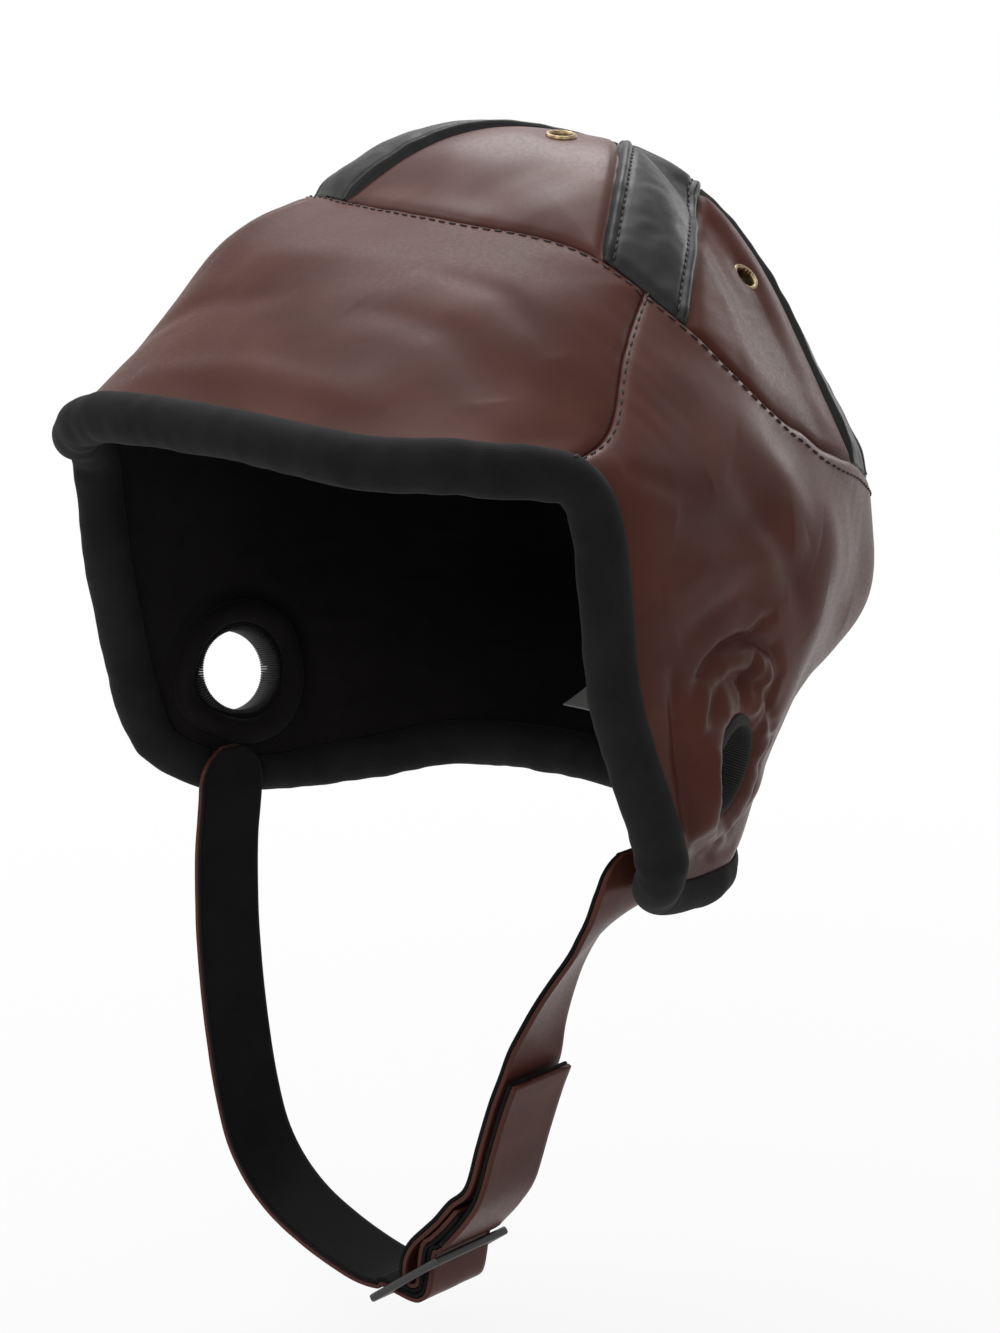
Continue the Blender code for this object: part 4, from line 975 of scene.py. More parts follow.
def makeWallLinings():
    for k, (name, spec) in enumerate(wallPanels.items()):
        points, normals, gaps = wallGrid(spec, spec["rows"] * 2 // 3, spec["cols"] * 2 // 3)
        nearest = earRelief(points)[1]
        keep = nearest[:-1, :-1] > ear["hole"] - lining["holeLap"]
        points = trimToHoles(points, keep)
        wave = 0.5 + 0.5 * softNoise(points, lining["waveSize"], 70 + k)
        fold = softNoise(points * lining["foldSquash"], lining["foldSize"], 76 + k)
        height = -lining["wave"] * wave - lining["fold"] * np.clip(fold - lining["foldFrom"], 0, 1)
        height += lining["ringDip"] * bell(nearest - ear["seamRing"], lining["stitchWidth"])
        height *= 1 - bell(gaps["bottom"], lining["calmEdge"])
        height += lining["seamDip"] * bell(np.minimum(gaps["from"], gaps["to"]), lining["stitchWidth"])
        inner = points + normals * (capShape["inner"] + height)[..., None]
        piece = shell(f"{name}Lining", points + normals * liningOuter, inner, liningCloth, keep)
        finishPiece(piece, "cap", "black_lining_fabric", f"{name}_lining")


def makeCrownLining():
    stations = np.linspace(0, ringLength, lining["crownCols"])
    rim = alongRing(rings[0], stations)
    shares = np.linspace(lining["firstShare"], 1, lining["crownRows"])[:, None]
    x, y = (crownCentre[c] + (rim[None, :, c] - crownCentre[c]) * shares for c in (0, 1))
    points = crownPoint(x, y)
    normals = turnedToSeam(crownNormal(x, y), bell(1 - shares, lining["seamShare"]), stations)
    wave = 0.5 + 0.5 * softNoise(points, lining["crownWaveSize"], 80)
    height = capShape["inner"] - lining["crownWave"] * wave
    eyes = [crownPoint(*(np.array(c) for c in eyeletPlan(name))) for name in wedges]
    gap = np.min([np.linalg.norm(points - eye, axis=-1) for eye in eyes], axis=0)
    inner = points + normals * height[..., None]
    keep = gap[:-1, :-1] > eyelet["hole"]
    piece = shell("crownLining", points + normals * liningOuter, inner, liningCloth, keep)
    finishPiece(piece, "cap", "black_lining_fabric", "crown_lining")


makeWallLinings()
makeCrownLining()
print("linings ready")

# where the strap is sewn on at the wearer's left; the right end mirrors it
strapEnd = (64.6 * mm, -20 * mm, -27 * mm)
binding = {
    "radius": 5.75 * mm, "slotHalf": 3.85 * mm, "floor": 1.0 * mm, "step": 0.9 * mm, "arc": 40, "fine": 1200,
    # wrinkles across the roll, deepest where it bends, and slow lumps along it
    "wrinkle": 0.5 * mm, "wrinkleSize": 5.0 * mm, "lump": 0.3 * mm, "lumpSize": 18 * mm,
    "noiseRadius": 3.2 * mm, "straightShare": 0.45, "bendShare": 1.6, "bendMost": 0.6, "bendWindow": 13,
    # flattened where the strap's sewn end passes it, so that the strap swings free
    "strapNear": 14 * mm, "strapFar": 22 * mm, "pressed": 0.7 * mm,
}


def bindingRadius(centre, run, angle, fade, seed):
    # radius of the roll for each place along it and each angle round it
    bend = np.linalg.norm(np.gradient(run, axis=0), axis=-1) / binding["step"] * binding["radius"]
    bend = np.clip(smoothed(bend, binding["bendWindow"]), 0, binding["bendMost"])[:, None]
    along = np.arange(len(run))[:, None] * binding["step"]
    circle = binding["noiseRadius"] * np.stack([np.cos(angle), np.sin(angle)])
    grid = np.stack(np.broadcast_arrays(along, *circle), axis=-1)
    deep = binding["wrinkle"] * (binding["straightShare"] + binding["bendShare"] * bend)
    wrinkles = (deep * softNoise(grid, binding["wrinkleSize"], seed)
                + binding["lump"] * softNoise(grid, binding["lumpSize"], seed + 2))
    ends = [np.array(strapEnd) * (side, 1, 1) for side in (-1, 1)]
    away = np.min([np.linalg.norm(centre - end, axis=-1) for end in ends], axis=0)[:, None]
    free = np.clip((away - binding["strapNear"]) / (binding["strapFar"] - binding["strapNear"]), 0, 1)
    return binding["radius"] + (wrinkles * free - binding["pressed"] * (1 - free)) * fade


def makeBinding(name, first, last, node, seed):
    fine = np.linspace(first, last, binding["fine"])
    line = edgeFrame(fine)[0]
    length = lengthAlong(line)[-1]
    here, outward, inward, run = edgeFrame(evenly(line, int(length / binding["step"]), fine))
    centre = here + outward * capShape["stackMiddle"]
    # the roll is open toward the wall, where a slot takes the edge of all its layers
    mouth = np.sqrt(binding["radius"] ** 2 - binding["slotHalf"] ** 2)
    begin = np.arctan2(binding["slotHalf"], mouth)
    angle = np.linspace(begin, 2 * pi - begin, binding["arc"])
    fade = np.sin((angle - begin) / (2 * pi - 2 * begin) * pi) ** 0.5
    radius = bindingRadius(centre, run, angle, fade, seed)
    arc = (centre[:, None] + outward[:, None] * (np.sin(angle) * radius)[..., None]
           + inward[:, None] * (np.cos(angle) * radius)[..., None])
    slot = [centre + outward * (side * binding["slotHalf"]) + inward * binding["floor"] for side in (-1, 1)]
    loops = np.concatenate([arc, slot[0][:, None], slot[1][:, None]], axis=1)
    piece = newMesh(name, loops.reshape(-1, 3), loopFaces(*loops.shape[:2]), bindingCloth)
    finishPiece(piece, "cap", "black_binding_fabric", node)


makeBinding("faceBinding", 16.0, 28.0, "face_binding", 90)
makeBinding("napeBinding", 6.0, 16.0, "nape_binding", 94)
print("bindings ready")


def lathe(profile, sides):
    # closed profile of (radius, height) turned about Z
    angles = np.arange(sides) * 2 * pi / sides
    profile = np.array(profile)
    points = np.stack([profile[:, 0] * np.cos(angles)[:, None], profile[:, 0] * np.sin(angles)[:, None],
                       np.broadcast_to(profile[:, 1], (sides, len(profile)))], axis=-1)
    return points.reshape(-1, 3), loopFaces(sides, len(profile), joined=True)


def standUp(points, centre, axis):
    # points about Z turned to stand along the axis, at the centre
    side = unit(np.cross(axis, (0.31, 0.52, 0.79)))
    return centre + points[:, :1] * side + points[:, 1:2] * np.cross(axis, side) + points[:, 2:] * axis


def newTree(name, inputs):
    tree = bpy.data.node_groups.new(name, "GeometryNodeTree")
    tree.interface.new_socket("Geometry", in_out="INPUT", socket_type="NodeSocketGeometry")
    for label, kind in inputs.items():
        tree.interface.new_socket(label, in_out="INPUT", socket_type=kind)
    tree.interface.new_socket("Geometry", in_out="OUTPUT", socket_type="NodeSocketGeometry")
    return tree, addNode(tree, "NodeGroupInput").outputs, addNode(tree, "NodeGroupOutput")


def closeTree(tree, placed, thread, result):
    # the copies made real and given their thread
    real = addNode(tree, "GeometryNodeRealizeInstances", {"Geometry": placed.outputs["Instances"]})
    painted = addNode(tree, "GeometryNodeSetMaterial", {"Geometry": real.outputs["Geometry"],
                                                        "Material": thread})
    smooth = addNode(tree, "GeometryNodeSetShadeSmooth", {"Geometry": painted.outputs["Geometry"]})
    tree.links.new(smooth.outputs["Geometry"], result.inputs["Geometry"])
    return tree


def grown(name, lines, tree, values, closed=False):
    # runs the tree on a curve through each line of points, and keeps its result as a plain mesh
    data = bpy.data.curves.new(name, "CURVE")
    data.dimensions = "3D"
    for line in lines:
        spline = data.splines.new("POLY")
        spline.points.add(len(line) - 1)
        spline.use_cyclic_u = closed
        spline.points.foreach_set("co", np.concatenate([line, np.ones((len(line), 1))], axis=1).ravel())
    host = addObject(name, data)
    modifier = host.modifiers.new("grow", "NODES")
    modifier.node_group = tree
    sockets = {s.name: s.identifier for s in tree.interface.items_tree if s.in_out == "INPUT"}
    for key, value in values.items():
        modifier[sockets[key]] = value
    host.update_tag()
    bpy.context.view_layer.update()
    evaluated = host.evaluated_get(bpy.context.evaluated_depsgraph_get())
    mesh = bpy.data.meshes.new_from_object(evaluated)
    bpy.data.objects.remove(host, do_unlink=True)
    mesh.name = name
    return addObject(name, mesh)


def stitchTree():
    # rows of thread stitches along every curve
    tree, given, result = newTree("topstitch", {
        "Pitch": "NodeSocketFloat", "Stitch Length": "NodeSocketFloat", "Thread Radius": "NodeSocketFloat",
        "Thread": "NodeSocketMaterial"})
    spots = addNode(tree, "GeometryNodeCurveToPoints", {"Curve": given["Geometry"], "Length": given["Pitch"]},
                    mode="LENGTH")
    bead = addNode(tree, "GeometryNodeMeshUVSphere", {"Segments": 8, "Rings": 6, "Radius": 1.0})
    size = addNode(tree, "ShaderNodeCombineXYZ", {"X": given["Stitch Length"], "Y": given["Thread Radius"],
                                                  "Z": given["Thread Radius"]})
    shaped = addNode(tree, "GeometryNodeTransform", {"Geometry": bead.outputs["Mesh"],
                                                     "Scale": size.outputs[0]})
    turn = addNode(tree, "FunctionNodeAlignRotationToVector", {"Vector": spots.outputs["Tangent"]}, axis="X")
    placed = addNode(tree, "GeometryNodeInstanceOnPoints", {
        "Points": spots.outputs["Points"], "Instance": shaped.outputs["Geometry"],
        "Rotation": turn.outputs["Rotation"]})
    return closeTree(tree, placed, given["Thread"], result)


stitches = {
    "band": {"Pitch": 3.3 * mm, "Stitch Length": 1.15 * mm, "Thread Radius": 0.28 * mm,
             "Thread": threadDark},
    "strip": {"Pitch": 2.6 * mm, "Stitch Length": 0.95 * mm, "Thread Radius": 0.22 * mm,
              "Thread": threadBlack},
    # rows: depth below the crown seam, stations beside the wall seams, and the share of a seam that is sewn
    "bandDepth": 0.032, "bandBeside": 0.035, "bandShares": (0.01, 0.965), "stripShares": (0.012, 0.988),
    "sunk": 0.15 * mm, "probe": 12 * mm, "probeReach": 20 * mm,
}


def surfaceLift(points, normals):
    # puts stitch lines on the finished surface of whatever pieces lie under them
    graph = bpy.context.evaluated_depsgraph_get()
    lifted = []
    for p, n in zip(points, normals):
        hit, spot, *_ = bpy.context.scene.ray_cast(graph, Vector(p + n * stitches["probe"]), Vector(-n),
                                                   distance=stitches["probeReach"])
        lifted.append(np.array(spot) + n * stitches["sunk"] if hit else p + n * capShape["outer"])
    return np.array(lifted)


def bandLines():
    stations = np.linspace(0, ringLength, 700)
    depth = np.full_like(stations, stitches["bandDepth"])
    lines = [surfaceLift(wallPoint(stations, depth), wallNormal(stations, depth))]
    shares = np.linspace(*stitches["bandShares"], 200)
    for top, edge in wallSeams.values():
        u = top + (edge - top) * shares + stitches["bandBeside"]
        lines.append(surfaceLift(wallPoint(u, shares), wallNormal(u, shares)))
    return lines


def stripLines():
    lines = []
    shares = np.linspace(*stitches["stripShares"], 420)[:, None]
    inset = capShape["stripHalf"] - strips["stitchIn"]
    for side in (-inset, inset):
        v = np.array([[side]])
        plans = [stripPlan("frontLeft", "backRight", v, shares)]
        plans += [armPlan(name, v, shares[::2]) for name in ("frontRight", "backLeft")]
        for spot, *_ in plans:
            x, y = spot[:, 0, 0], spot[:, 0, 1]
            lines.append(surfaceLift(crownPoint(x, y), crownNormal(x, y)))
    return lines


def makeStitches():
    # the rays that find the leather must not meet the solids
    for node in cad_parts.values():
        node.hide_viewport = True
    bpy.context.view_layer.update()
    tree = stitchTree()
    band = grown("bandStitches", bandLines(), tree, stitches["band"])
    finishPiece(band, "cap", "brown_faux_leather")
    strip = grown("stripStitches", stripLines(), tree, stitches["strip"])
    finishPiece(strip, "cap", "black_faux_leather")
    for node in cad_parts.values():
        node.hide_viewport = False


makeStitches()
print("stitches ready")


def makeEyelets():
    # stamped eyelet: rolled flange outside, barrel, and a rolled washer inside
    b, f = eyelet["bore"], eyelet["flange"]
    top, foot, lap = eyelet["top"], eyelet["foot"], eyelet["lap"]
    flange = [(b + (f - b) * (0.5 - 0.5 * cos(k / 8 * pi)), top + eyelet["topRoll"] * sin(k / 8 * pi))
              for k in range(9)]
    washer = [(f - (f - b) * (0.5 - 0.5 * cos(k / 6 * pi)), foot - eyelet["footRoll"] * sin(k / 6 * pi))
              for k in range(7)]
    barrel = [(b + eyelet["wall"], top - lap), (b + eyelet["wall"], foot + lap)]
    points, faces = lathe((flange + barrel + washer)[::-1], 48)
    every, joined = [], []
    for name in wedges:
        plan = [np.array(c) for c in eyeletPlan(name)]
        centre, axis = crownPoint(*plan), crownNormal(*plan)
        joined += [[m + len(every) * len(points) for m in face] for face in faces]
        every.append(standUp(points, centre - axis * eyelet["sunk"], axis))
    piece = newMesh("crownEyelets", np.concatenate(every), joined, brass)
    nodes = [f"eyelet_{name}" for name in wedges] + [f"eyelet_washer_{name}" for name in wedges]
    finishPiece(piece, "cap", "antique_brass", *nodes)


makeEyelets()
print("eyelets ready")


def edgingTree():
    # close thread loops sewn over the raw edge of a hole, all the way round
    tree, given, result = newTree("edgingLoops", {
        "Count": "NodeSocketInt", "Ring Radius": "NodeSocketFloat", "Thread Radius": "NodeSocketFloat",
        "Thread": "NodeSocketMaterial"})
    ring = addNode(tree, "GeometryNodeMeshCircle", {"Vertices": given["Count"],
                                                    "Radius": given["Ring Radius"]})
    face = addNode(tree, "GeometryNodeInputPosition")
    turn = addNode(tree, "FunctionNodeAlignRotationToVector", {"Vector": face.outputs["Position"]}, axis="X")
    bend = addNode(tree, "GeometryNodeFilletCurve", {"Curve": given["Geometry"],
                                                     "Radius": given["Thread Radius"]})
    shape = addNode(tree, "GeometryNodeCurvePrimitiveCircle", {"Resolution": 7,
                                                               "Radius": given["Thread Radius"]})
    wire = addNode(tree, "GeometryNodeCurveToMesh", {"Curve": bend.outputs["Curve"],
                                                     "Profile Curve": shape.outputs["Curve"]})
    placed = addNode(tree, "GeometryNodeInstanceOnPoints", {
        "Points": ring.outputs["Mesh"], "Instance": wire.outputs["Mesh"],
        "Rotation": turn.outputs["Rotation"]})
    return closeTree(tree, placed, given["Thread"], result)


edging = {
    "loops": 104, "thread": 0.29 * mm, "inner": 10.3 * mm, "reach": 2.1 * mm, "top": 2.35 * mm,
    "foot": -6.45 * mm, "slope": 0.9 * mm, "middle": 0.4 * mm, "under": 0.3 * mm, "turned": 0.7 * mm,
    "footTurned": 0.6 * mm, "topThick": 1.6 * mm, "footThick": 1.0 * mm,
}


def makeEdging():
    tree = edgingTree()
    low, high, under = -edging["middle"], edging["reach"] - edging["middle"], edging["under"]
    brim, sole = edging["top"] - edging["slope"], edging["foot"] + edging["slope"]
    # each loop climbs through the hole, folds over the leather and comes back under the lining
    loop = [(low, 0, edging["foot"]), (low, 0, edging["top"]), (high, 0, brim),
            (high, 0, brim - edging["turned"]), (under, 0, edging["top"] - edging["topThick"]),
            (under, 0, edging["foot"] + edging["footThick"]), (high, 0, sole + edging["footTurned"]),
            (high, 0, sole)]
    sizes = {"Count": edging["loops"], "Ring Radius": edging["inner"] + edging["middle"],
             "Thread Radius": edging["thread"], "Thread": edgingThread}
    for side in ("left", "right"):
        piece = grown(f"earEdging{side.capitalize()}", [loop], tree, sizes, closed=True)
        centre, axis = earSpot(side)
        across = unit(np.cross(axis, (0, 0, 1.0)))
        other = np.cross(axis, across)
        piece.data.transform(Matrix((
            (across[0], other[0], axis[0], centre[0]), (across[1], other[1], axis[1], centre[1]),
            (across[2], other[2], axis[2], centre[2]), (0, 0, 0, 1))))
        finishPiece(piece, "cap", "black_edging_thread", f"ear_edging_{side}")


makeEdging()
print("ear edging ready")

earPad = {"inner": 12.8 * mm, "outer": 18.6 * mm, "gap": 0.5 * mm, "thick": 3.1 * mm, "rimThick": 0.5 * mm,
          "dimple": 0.25 * mm, "dimpleSize": 4 * mm, "sides": 120, "across": 18}


def underRing(side, radius, angle):
    # wall points, and their normals, that lie at this distance and angle from the ear hole
    centre, axis = earSpot(side)
    across = unit(np.cross(axis, (0, 0, 1.0)))
    along = np.cross(axis, across)
    u, t = (np.full(radius.shape, float(c)) for c in ear[side])
    step = 0.01
    for _ in range(14):
        here = wallPoint(u, t)
        du, dt = (wallPoint(u + step, t) - here) / step, (wallPoint(u, t + step) - here) / step
        miss = [np.cos(angle) * radius - (here - centre) @ across,
                np.sin(angle) * radius - (here - centre) @ along]
        a, b, c, d = du @ across, dt @ across, du @ along, dt @ along
        det = a * d - b * c
        u, t = u + (d * miss[0] - b * miss[1]) / det, t + (a * miss[1] - c * miss[0]) / det
    return wallPoint(u, t), wallNormal(u, t)


def outward(piece):
    mesh = bmesh.new()
    mesh.from_mesh(piece.data)
    bmesh.ops.recalc_face_normals(mesh, faces=mesh.faces)
    mesh.to_mesh(piece.data)
    mesh.free()


def makeEarPads():
    base = capShape["inner"] - earPad["gap"]
    angles = np.arange(earPad["sides"]) / earPad["sides"] * 2 * pi
    angle, f = np.meshgrid(angles, np.linspace(0, 1, earPad["across"]), indexing="ij")
    for k, side in enumerate(("left", "right")):
        points, normals = underRing(side, earPad["inner"] + (earPad["outer"] - earPad["inner"]) * f, angle)
        swell = np.sqrt(np.clip(1 - (2 * f - 1) ** 2, 0, 1))
        dimples = earPad["dimple"] * softNoise(points, earPad["dimpleSize"], 60 + k)
        face = base - earPad["rimThick"] - (earPad["thick"] - earPad["rimThick"] + dimples) * swell
        front, back = points + normals * face[..., None], points + normals * base
        loops = np.concatenate([front, back[:, ::-1]], axis=1)
        faces = loopFaces(*loops.shape[:2], joined=True)
        piece = newMesh(f"earPad{side.capitalize()}", loops.reshape(-1, 3), faces, liningCloth)
        outward(piece)
        finishPiece(piece, "cap", "black_lining_fabric", f"ear_pad_{side}")


makeEarPads()
print("ear pads ready")

# chin strap: two plies, looped through the slider; all lines lie in one plane across the hinge line
strap = {
    "width": 20 * mm, "face": 1.0 * mm, "back": 0.8 * mm, "plyGap": 0.3 * mm, "edgeRound": 0.38 * mm,
    "span": strapEnd[0], "forward": -strapEnd[1], "top": strapEnd[2], "drop": 120 * mm, "tailGap": 0.4 * mm,
    "clear": 0.3 * mm, "steps": 9,
    # points of the tail's line that the left strap's loop lies beside, and the lean of a turn round a bar
    "fold": (1, 3), "lean": radians(42.0), "wave": 0.05 * mm, "waveSize": 6 * mm, "across": 21,
}
sliderSize = {"length": 28 * mm, "wall": 2.4 * mm, "bar": 2.4 * mm, "thick": 2.0 * mm, "side": 0.5 * mm,
              "angle": radians(37.0), "place": (0.091, 0.905), "bevel": 0.62 * mm}
# routes seen from the front: share of the span to the wearer's left, and share of the drop below the flaps
rightRoute = (
    (-1.000, -0.083), (-1.000, 0.000), (-1.012, 0.060), (-1.027, 0.118), (-1.034, 0.180), (-1.036, 0.250),
    (-1.033, 0.330), (-1.015, 0.446), (-0.985, 0.560), (-0.945, 0.665), (-0.885, 0.760), (-0.790, 0.830),
    (-0.660, 0.882), (-0.500, 0.918), (-0.340, 0.942), (-0.200, 0.955),
)
tailRoute = ((0.360, 0.742), (0.431, 0.680), (0.492, 0.579), (0.548, 0.490), (0.600, 0.420))
leftRoute = ((0.590, 0.335), (0.678, 0.230), (0.770, 0.150), (0.865, 0.088), (0.950, 0.035), (0.993, -0.015),
             (1.000, -0.050), (1.000, -0.083))


def strapPlace(share):
    return np.array([share[0] * strap["span"], strap["top"] - share[1] * strap["drop"]])


def through(knots, steps):
    # smooth line through the knots
    knots = np.array(knots)
    extended = np.concatenate([[2 * knots[0] - knots[1]], knots, [2 * knots[-1] - knots[-2]]])
    f = (np.arange(steps) / steps)[:, None]
    line = [between(*extended[k:k + 4], f) for k in range(len(knots) - 1)]
    return np.concatenate(line + [knots[-1:]])


sliderCentre = strapPlace(sliderSize["place"])
sliderRun = np.array([cos(sliderSize["angle"]), sin(sliderSize["angle"])])
sliderOut = np.array([sin(sliderSize["angle"]), -cos(sliderSize["angle"])])
# thickness of a whole strap, step between layers, and places along and out from the slider's middle
ply = strap["face"] + strap["back"] + strap["plyGap"]
layer = ply + strap["clear"]
barPlace = sliderSize["length"] / 2 - sliderSize["bar"] / 2
barEdge = sliderSize["length"] / 2 - sliderSize["bar"]
underBar = sliderSize["thick"] / 2 + 2 * strap["clear"] + ply / 2
wrap = np.hypot(sliderSize["bar"], sliderSize["thick"]) / 2 + strap["clear"] + ply / 2
exitRun = sliderSize["length"] / 2 + strap["clear"]


def atSlider(run, out):
    return sliderCentre + sliderRun * run + sliderOut * out


def arcPoint(radius, angle):
    return atSlider(sin(angle) * radius, cos(angle) * radius)


def besideLine(line, k, distance):
    run = unit(line[min(k + 1, len(line) - 1)] - line[max(k - 1, 0)])
    return line[k] + np.array([-run[1], run[0]]) * distance


def strapLines(steps):
    lean = strap["lean"]
    foot = barEdge - ply / 2
    lifted = strap["clear"] / 2 - underBar
    # under the first bar, over the left strap's loop on the middle bar, and under the last bar
    right = [strapPlace(share) for share in rightRoute]
    right += [atSlider(-barPlace, -underBar), atSlider(-foot, lifted)]
    right += [arcPoint(wrap + layer, a) for a in (-lean, 0, lean)]
    right += [atSlider(foot, lifted), atSlider(barPlace, -underBar), atSlider(exitRun, -underBar)]
    tail = [atSlider(exitRun + strap["tailGap"], -underBar)] + [strapPlace(share) for share in tailRoute]
    coarse = through(tail, 3)
    # from the loop's end beside the tail, in round the middle bar and back out to the flap
    left = [besideLine(coarse, k, layer) for k in strap["fold"][::-1]]
    left += [atSlider(barPlace, -underBar - layer), atSlider(barEdge - wrap, -underBar - layer * 0.7)]
    left += [arcPoint(wrap, a * lean) for a in (1, 0, -1, -2, -3.1)]
    left += [atSlider(wrap * 0.3, -underBar - layer * 0.95), atSlider(barEdge * 0.5, -underBar - layer * 1.8),
             atSlider(barPlace, -underBar - 2.25 * layer)]
    left += [besideLine(coarse, k, 2.25 * layer) for k in strap["fold"]]
    left += [besideLine(coarse, k, 1.5 * layer) for k in range(strap["fold"][-1] + 3, len(coarse), 3)]
    left += [strapPlace(share) for share in leftRoute]
    return through(right, steps), through(tail, steps), through(left, steps)


def plySection(low, high, across):
    # points round one ply: across as a share of its half width, and height; its edges are all but square
    r = strap["edgeRound"]
    turn = np.linspace(0, pi / 2, 4)
    side = np.linspace(-1, 1, across)
    corner = [(1 - r + r * np.sin(turn), high - r + r * np.cos(turn)),
              (1 - r + r * np.cos(turn), low + r - r * np.sin(turn))]
    x = np.concatenate([side * (1 - r), corner[0][0][1:], corner[1][0], -side[1:] * (1 - r),
                        -corner[1][0][::-1][1:], -corner[0][0][::-1][:-1]])
    z = np.concatenate([np.full(across, high), corner[0][1][1:], corner[1][1], np.full(across - 1, low),
                        corner[1][1][::-1][1:], corner[0][1][::-1][:-1]])
    return x, z


def halfAt(z, rounded):
    # half width at a height: the sewn ends above the flaps' hinge line are rounded
    rise = z - strap["top"]
    full = strap["width"] / 2
    top = np.sqrt(np.clip(full ** 2 - rise ** 2, (full / 4) ** 2, None))
    return np.where((rise > 0) & rounded, top, full)


# twist of the near strap in degrees against its drop from the flap, in shares of the whole drop
strapTwist = ((0.02, 0), (0.06, 8), (0.11, 19), (0.17, 19), (0.26, 14), (0.34, 6), (0.41, 0))


def twistAlong(line, twisted):
    if not twisted:
        return np.zeros(len(line))
    drop = (strap["top"] - line[:, 1]) / strap["drop"]
    return -np.radians(smoothed(np.interp(drop, *zip(*strapTwist)), 9))


def ribbon(name, line, low, high, material, body, node, slotName, rounded, seed):
    run = unit(np.gradient(line, axis=0))
    out = np.stack([run[:, 1], -run[:, 0]], axis=-1)
    share, level = plySection(low, high, strap["across"])
    side = share * halfAt(line[:, 1], rounded)[:, None]
    spot = np.stack(np.broadcast_arrays(side, lengthAlong(line)[:, None], np.zeros_like(side)), axis=-1)
    wave = strap["wave"] * softNoise(spot, strap["waveSize"], seed)
    height = level + np.where(level > (low + high) / 2, wave, -0.3 * wave)
    turn = twistAlong(line, "Left" in name)[:, None]
    side, height = side * np.cos(turn) - height * np.sin(turn), side * np.sin(turn) + height * np.cos(turn)
    flat = line[:, None] + out[:, None] * height[..., None]
    loops = np.stack([flat[..., 0], -strap["forward"] + side, flat[..., 1]], axis=-1)
    piece = newMesh(name, loops.reshape(-1, 3), loopFaces(*loops.shape[:2]), material)
    outward(piece)
    finishPiece(piece, body, slotName, node)


def makeStrap():
    rightLine, tailLine, leftLine = strapLines(strap["steps"])
    middle = strap["plyGap"] / 2
    for k, (name, line, body, rounded) in enumerate((("right", rightLine, "chin_strap", True),
                                                     ("tail", tailLine, "strap_tail", False),
                                                     ("left", leftLine, "chin_strap", True))):
        ribbon(f"strap{name.capitalize()}Face", line, middle, middle + strap["face"], brownLeather, body,
               f"strap_{name}_face", "brown_faux_leather", rounded, 120 + k)
        ribbon(f"strap{name.capitalize()}Backing", line, -middle - strap["back"], -middle, strapBacking, body,
               f"strap_{name}_backing", "black_lining_fabric", rounded, 130 + k)


makeStrap()
print("chin strap ready")


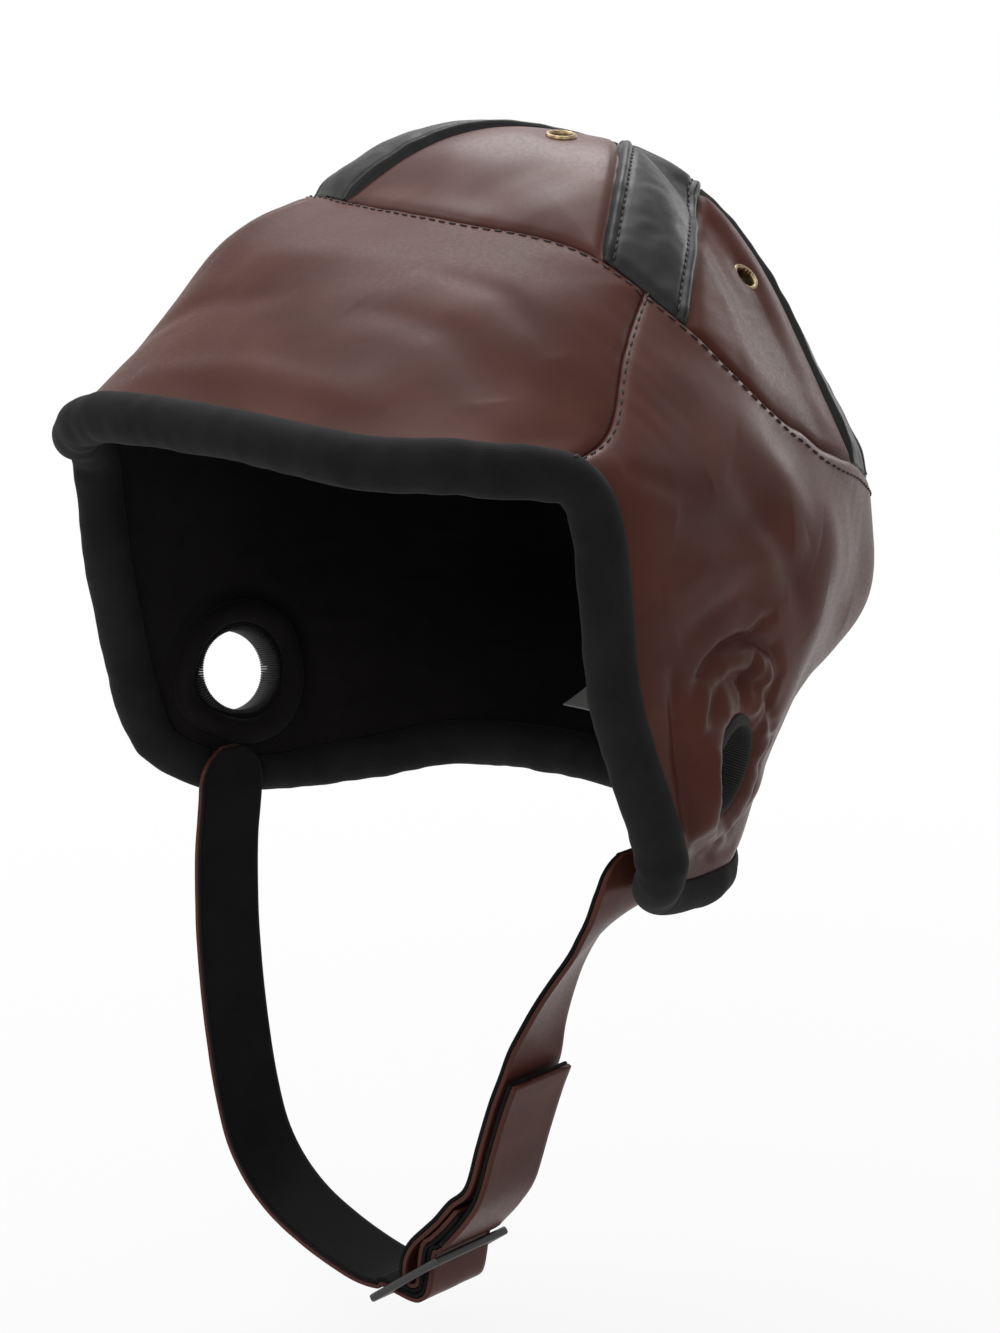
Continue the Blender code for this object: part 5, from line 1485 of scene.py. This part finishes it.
def makeSlider():
    # moulded tri-bar slide with softened edges
    size = sliderSize
    inner = strap["width"] / 2 + size["side"]
    linesY = (-inner - size["wall"], -inner, inner, inner + size["wall"])
    half = size["length"] / 2
    linesS = (-half, -half + size["bar"], -size["bar"] / 2, size["bar"] / 2, half - size["bar"], half)
    mesh = bmesh.new()
    layers = [[[mesh.verts.new((p[0], -strap["forward"] + y, p[1])) for y in linesY]
               for p in (atSlider(s, side * size["thick"] / 2) for s in linesS)] for side in (-1, 1)]
    # every cell of the grid but the two slots beside the middle bar
    kept = {(i, j) for i in range(5) for j in range(3) if not (j == 1 and i in (1, 3))}
    for i, j in sorted(kept):
        quad = [(i, j), (i + 1, j), (i + 1, j + 1), (i, j + 1)]
        for level, order in ((0, quad), (1, quad[::-1])):
            mesh.faces.new([layers[level][a][b] for a, b in order])
        for (a, b), (c, d), near in ((quad[0], quad[3], (i - 1, j)), (quad[1], quad[2], (i + 1, j)),
                                     (quad[0], quad[1], (i, j - 1)), (quad[3], quad[2], (i, j + 1))):
            if near not in kept:
                mesh.faces.new([layers[0][a][b], layers[0][c][d], layers[1][c][d], layers[1][a][b]])
    bmesh.ops.recalc_face_normals(mesh, faces=mesh.faces)
    sharp = [edge for edge in mesh.edges if edge.calc_face_angle(0) > 0.5]
    bmesh.ops.bevel(mesh, geom=sharp, offset=size["bevel"], segments=4, profile=0.5, affect="EDGES")
    data = bpy.data.meshes.new("strapSlider")
    mesh.to_mesh(data)
    mesh.free()
    data.polygons.foreach_set("use_smooth", [True] * len(data.polygons))
    data.materials.append(plastic)
    finishPiece(addObject("strapSlider", data), "chin_strap", "black_slider_plastic", "strap_slider")


makeSlider()
print("slider ready")

label = {"width": 24 * mm, "height": 16 * mm, "rise": 10 * mm, "thick": 0.3 * mm, "cols": 49, "rows": 33,
         "curl": 1.6 * mm, "wave": 0.35 * mm, "waveSize": 9 * mm, "gap": 0.25 * mm}


def makeLabel():
    # blank care label sewn in by its upper edge, its lower corners curling a little off the lining
    u0 = float(ringLength // 2)
    length = np.linalg.norm(wallPoint(u0, 0.9) - wallPoint(u0, 1.0)) / 0.1
    across, rise = np.meshgrid(np.linspace(-0.5, 0.5, label["cols"]), np.linspace(0, 1, label["rows"]))
    t = 1 - (label["rise"] + rise * label["height"]) / length
    pace = np.linalg.norm(wallPoint(u0 + 0.1, t) - wallPoint(u0 - 0.1, t), axis=-1) / 0.2
    u = u0 + across * label["width"] / pace
    points, normals = wallPoint(u, t), wallNormal(u, t)
    free = 1 - rise
    lift = label["curl"] * free ** 2 * (0.35 + 0.65 * abs(2 * across) ** 2)
    lift = lift + label["wave"] * (softNoise(points, label["waveSize"], 140) * 0.5 + 0.5) * free
    back = capShape["inner"] - lining["wave"] - lining["fold"] - label["gap"]
    outer = points + normals * (back - lift)[..., None]
    inner = points + normals * (back - lift - label["thick"])[..., None]
    piece = shell("careLabel", outer[::-1], inner[::-1], satin)
    outward(piece)
    finishPiece(piece, "cap", "grey_white_satin", "care_label")


makeLabel()
print("care label ready")
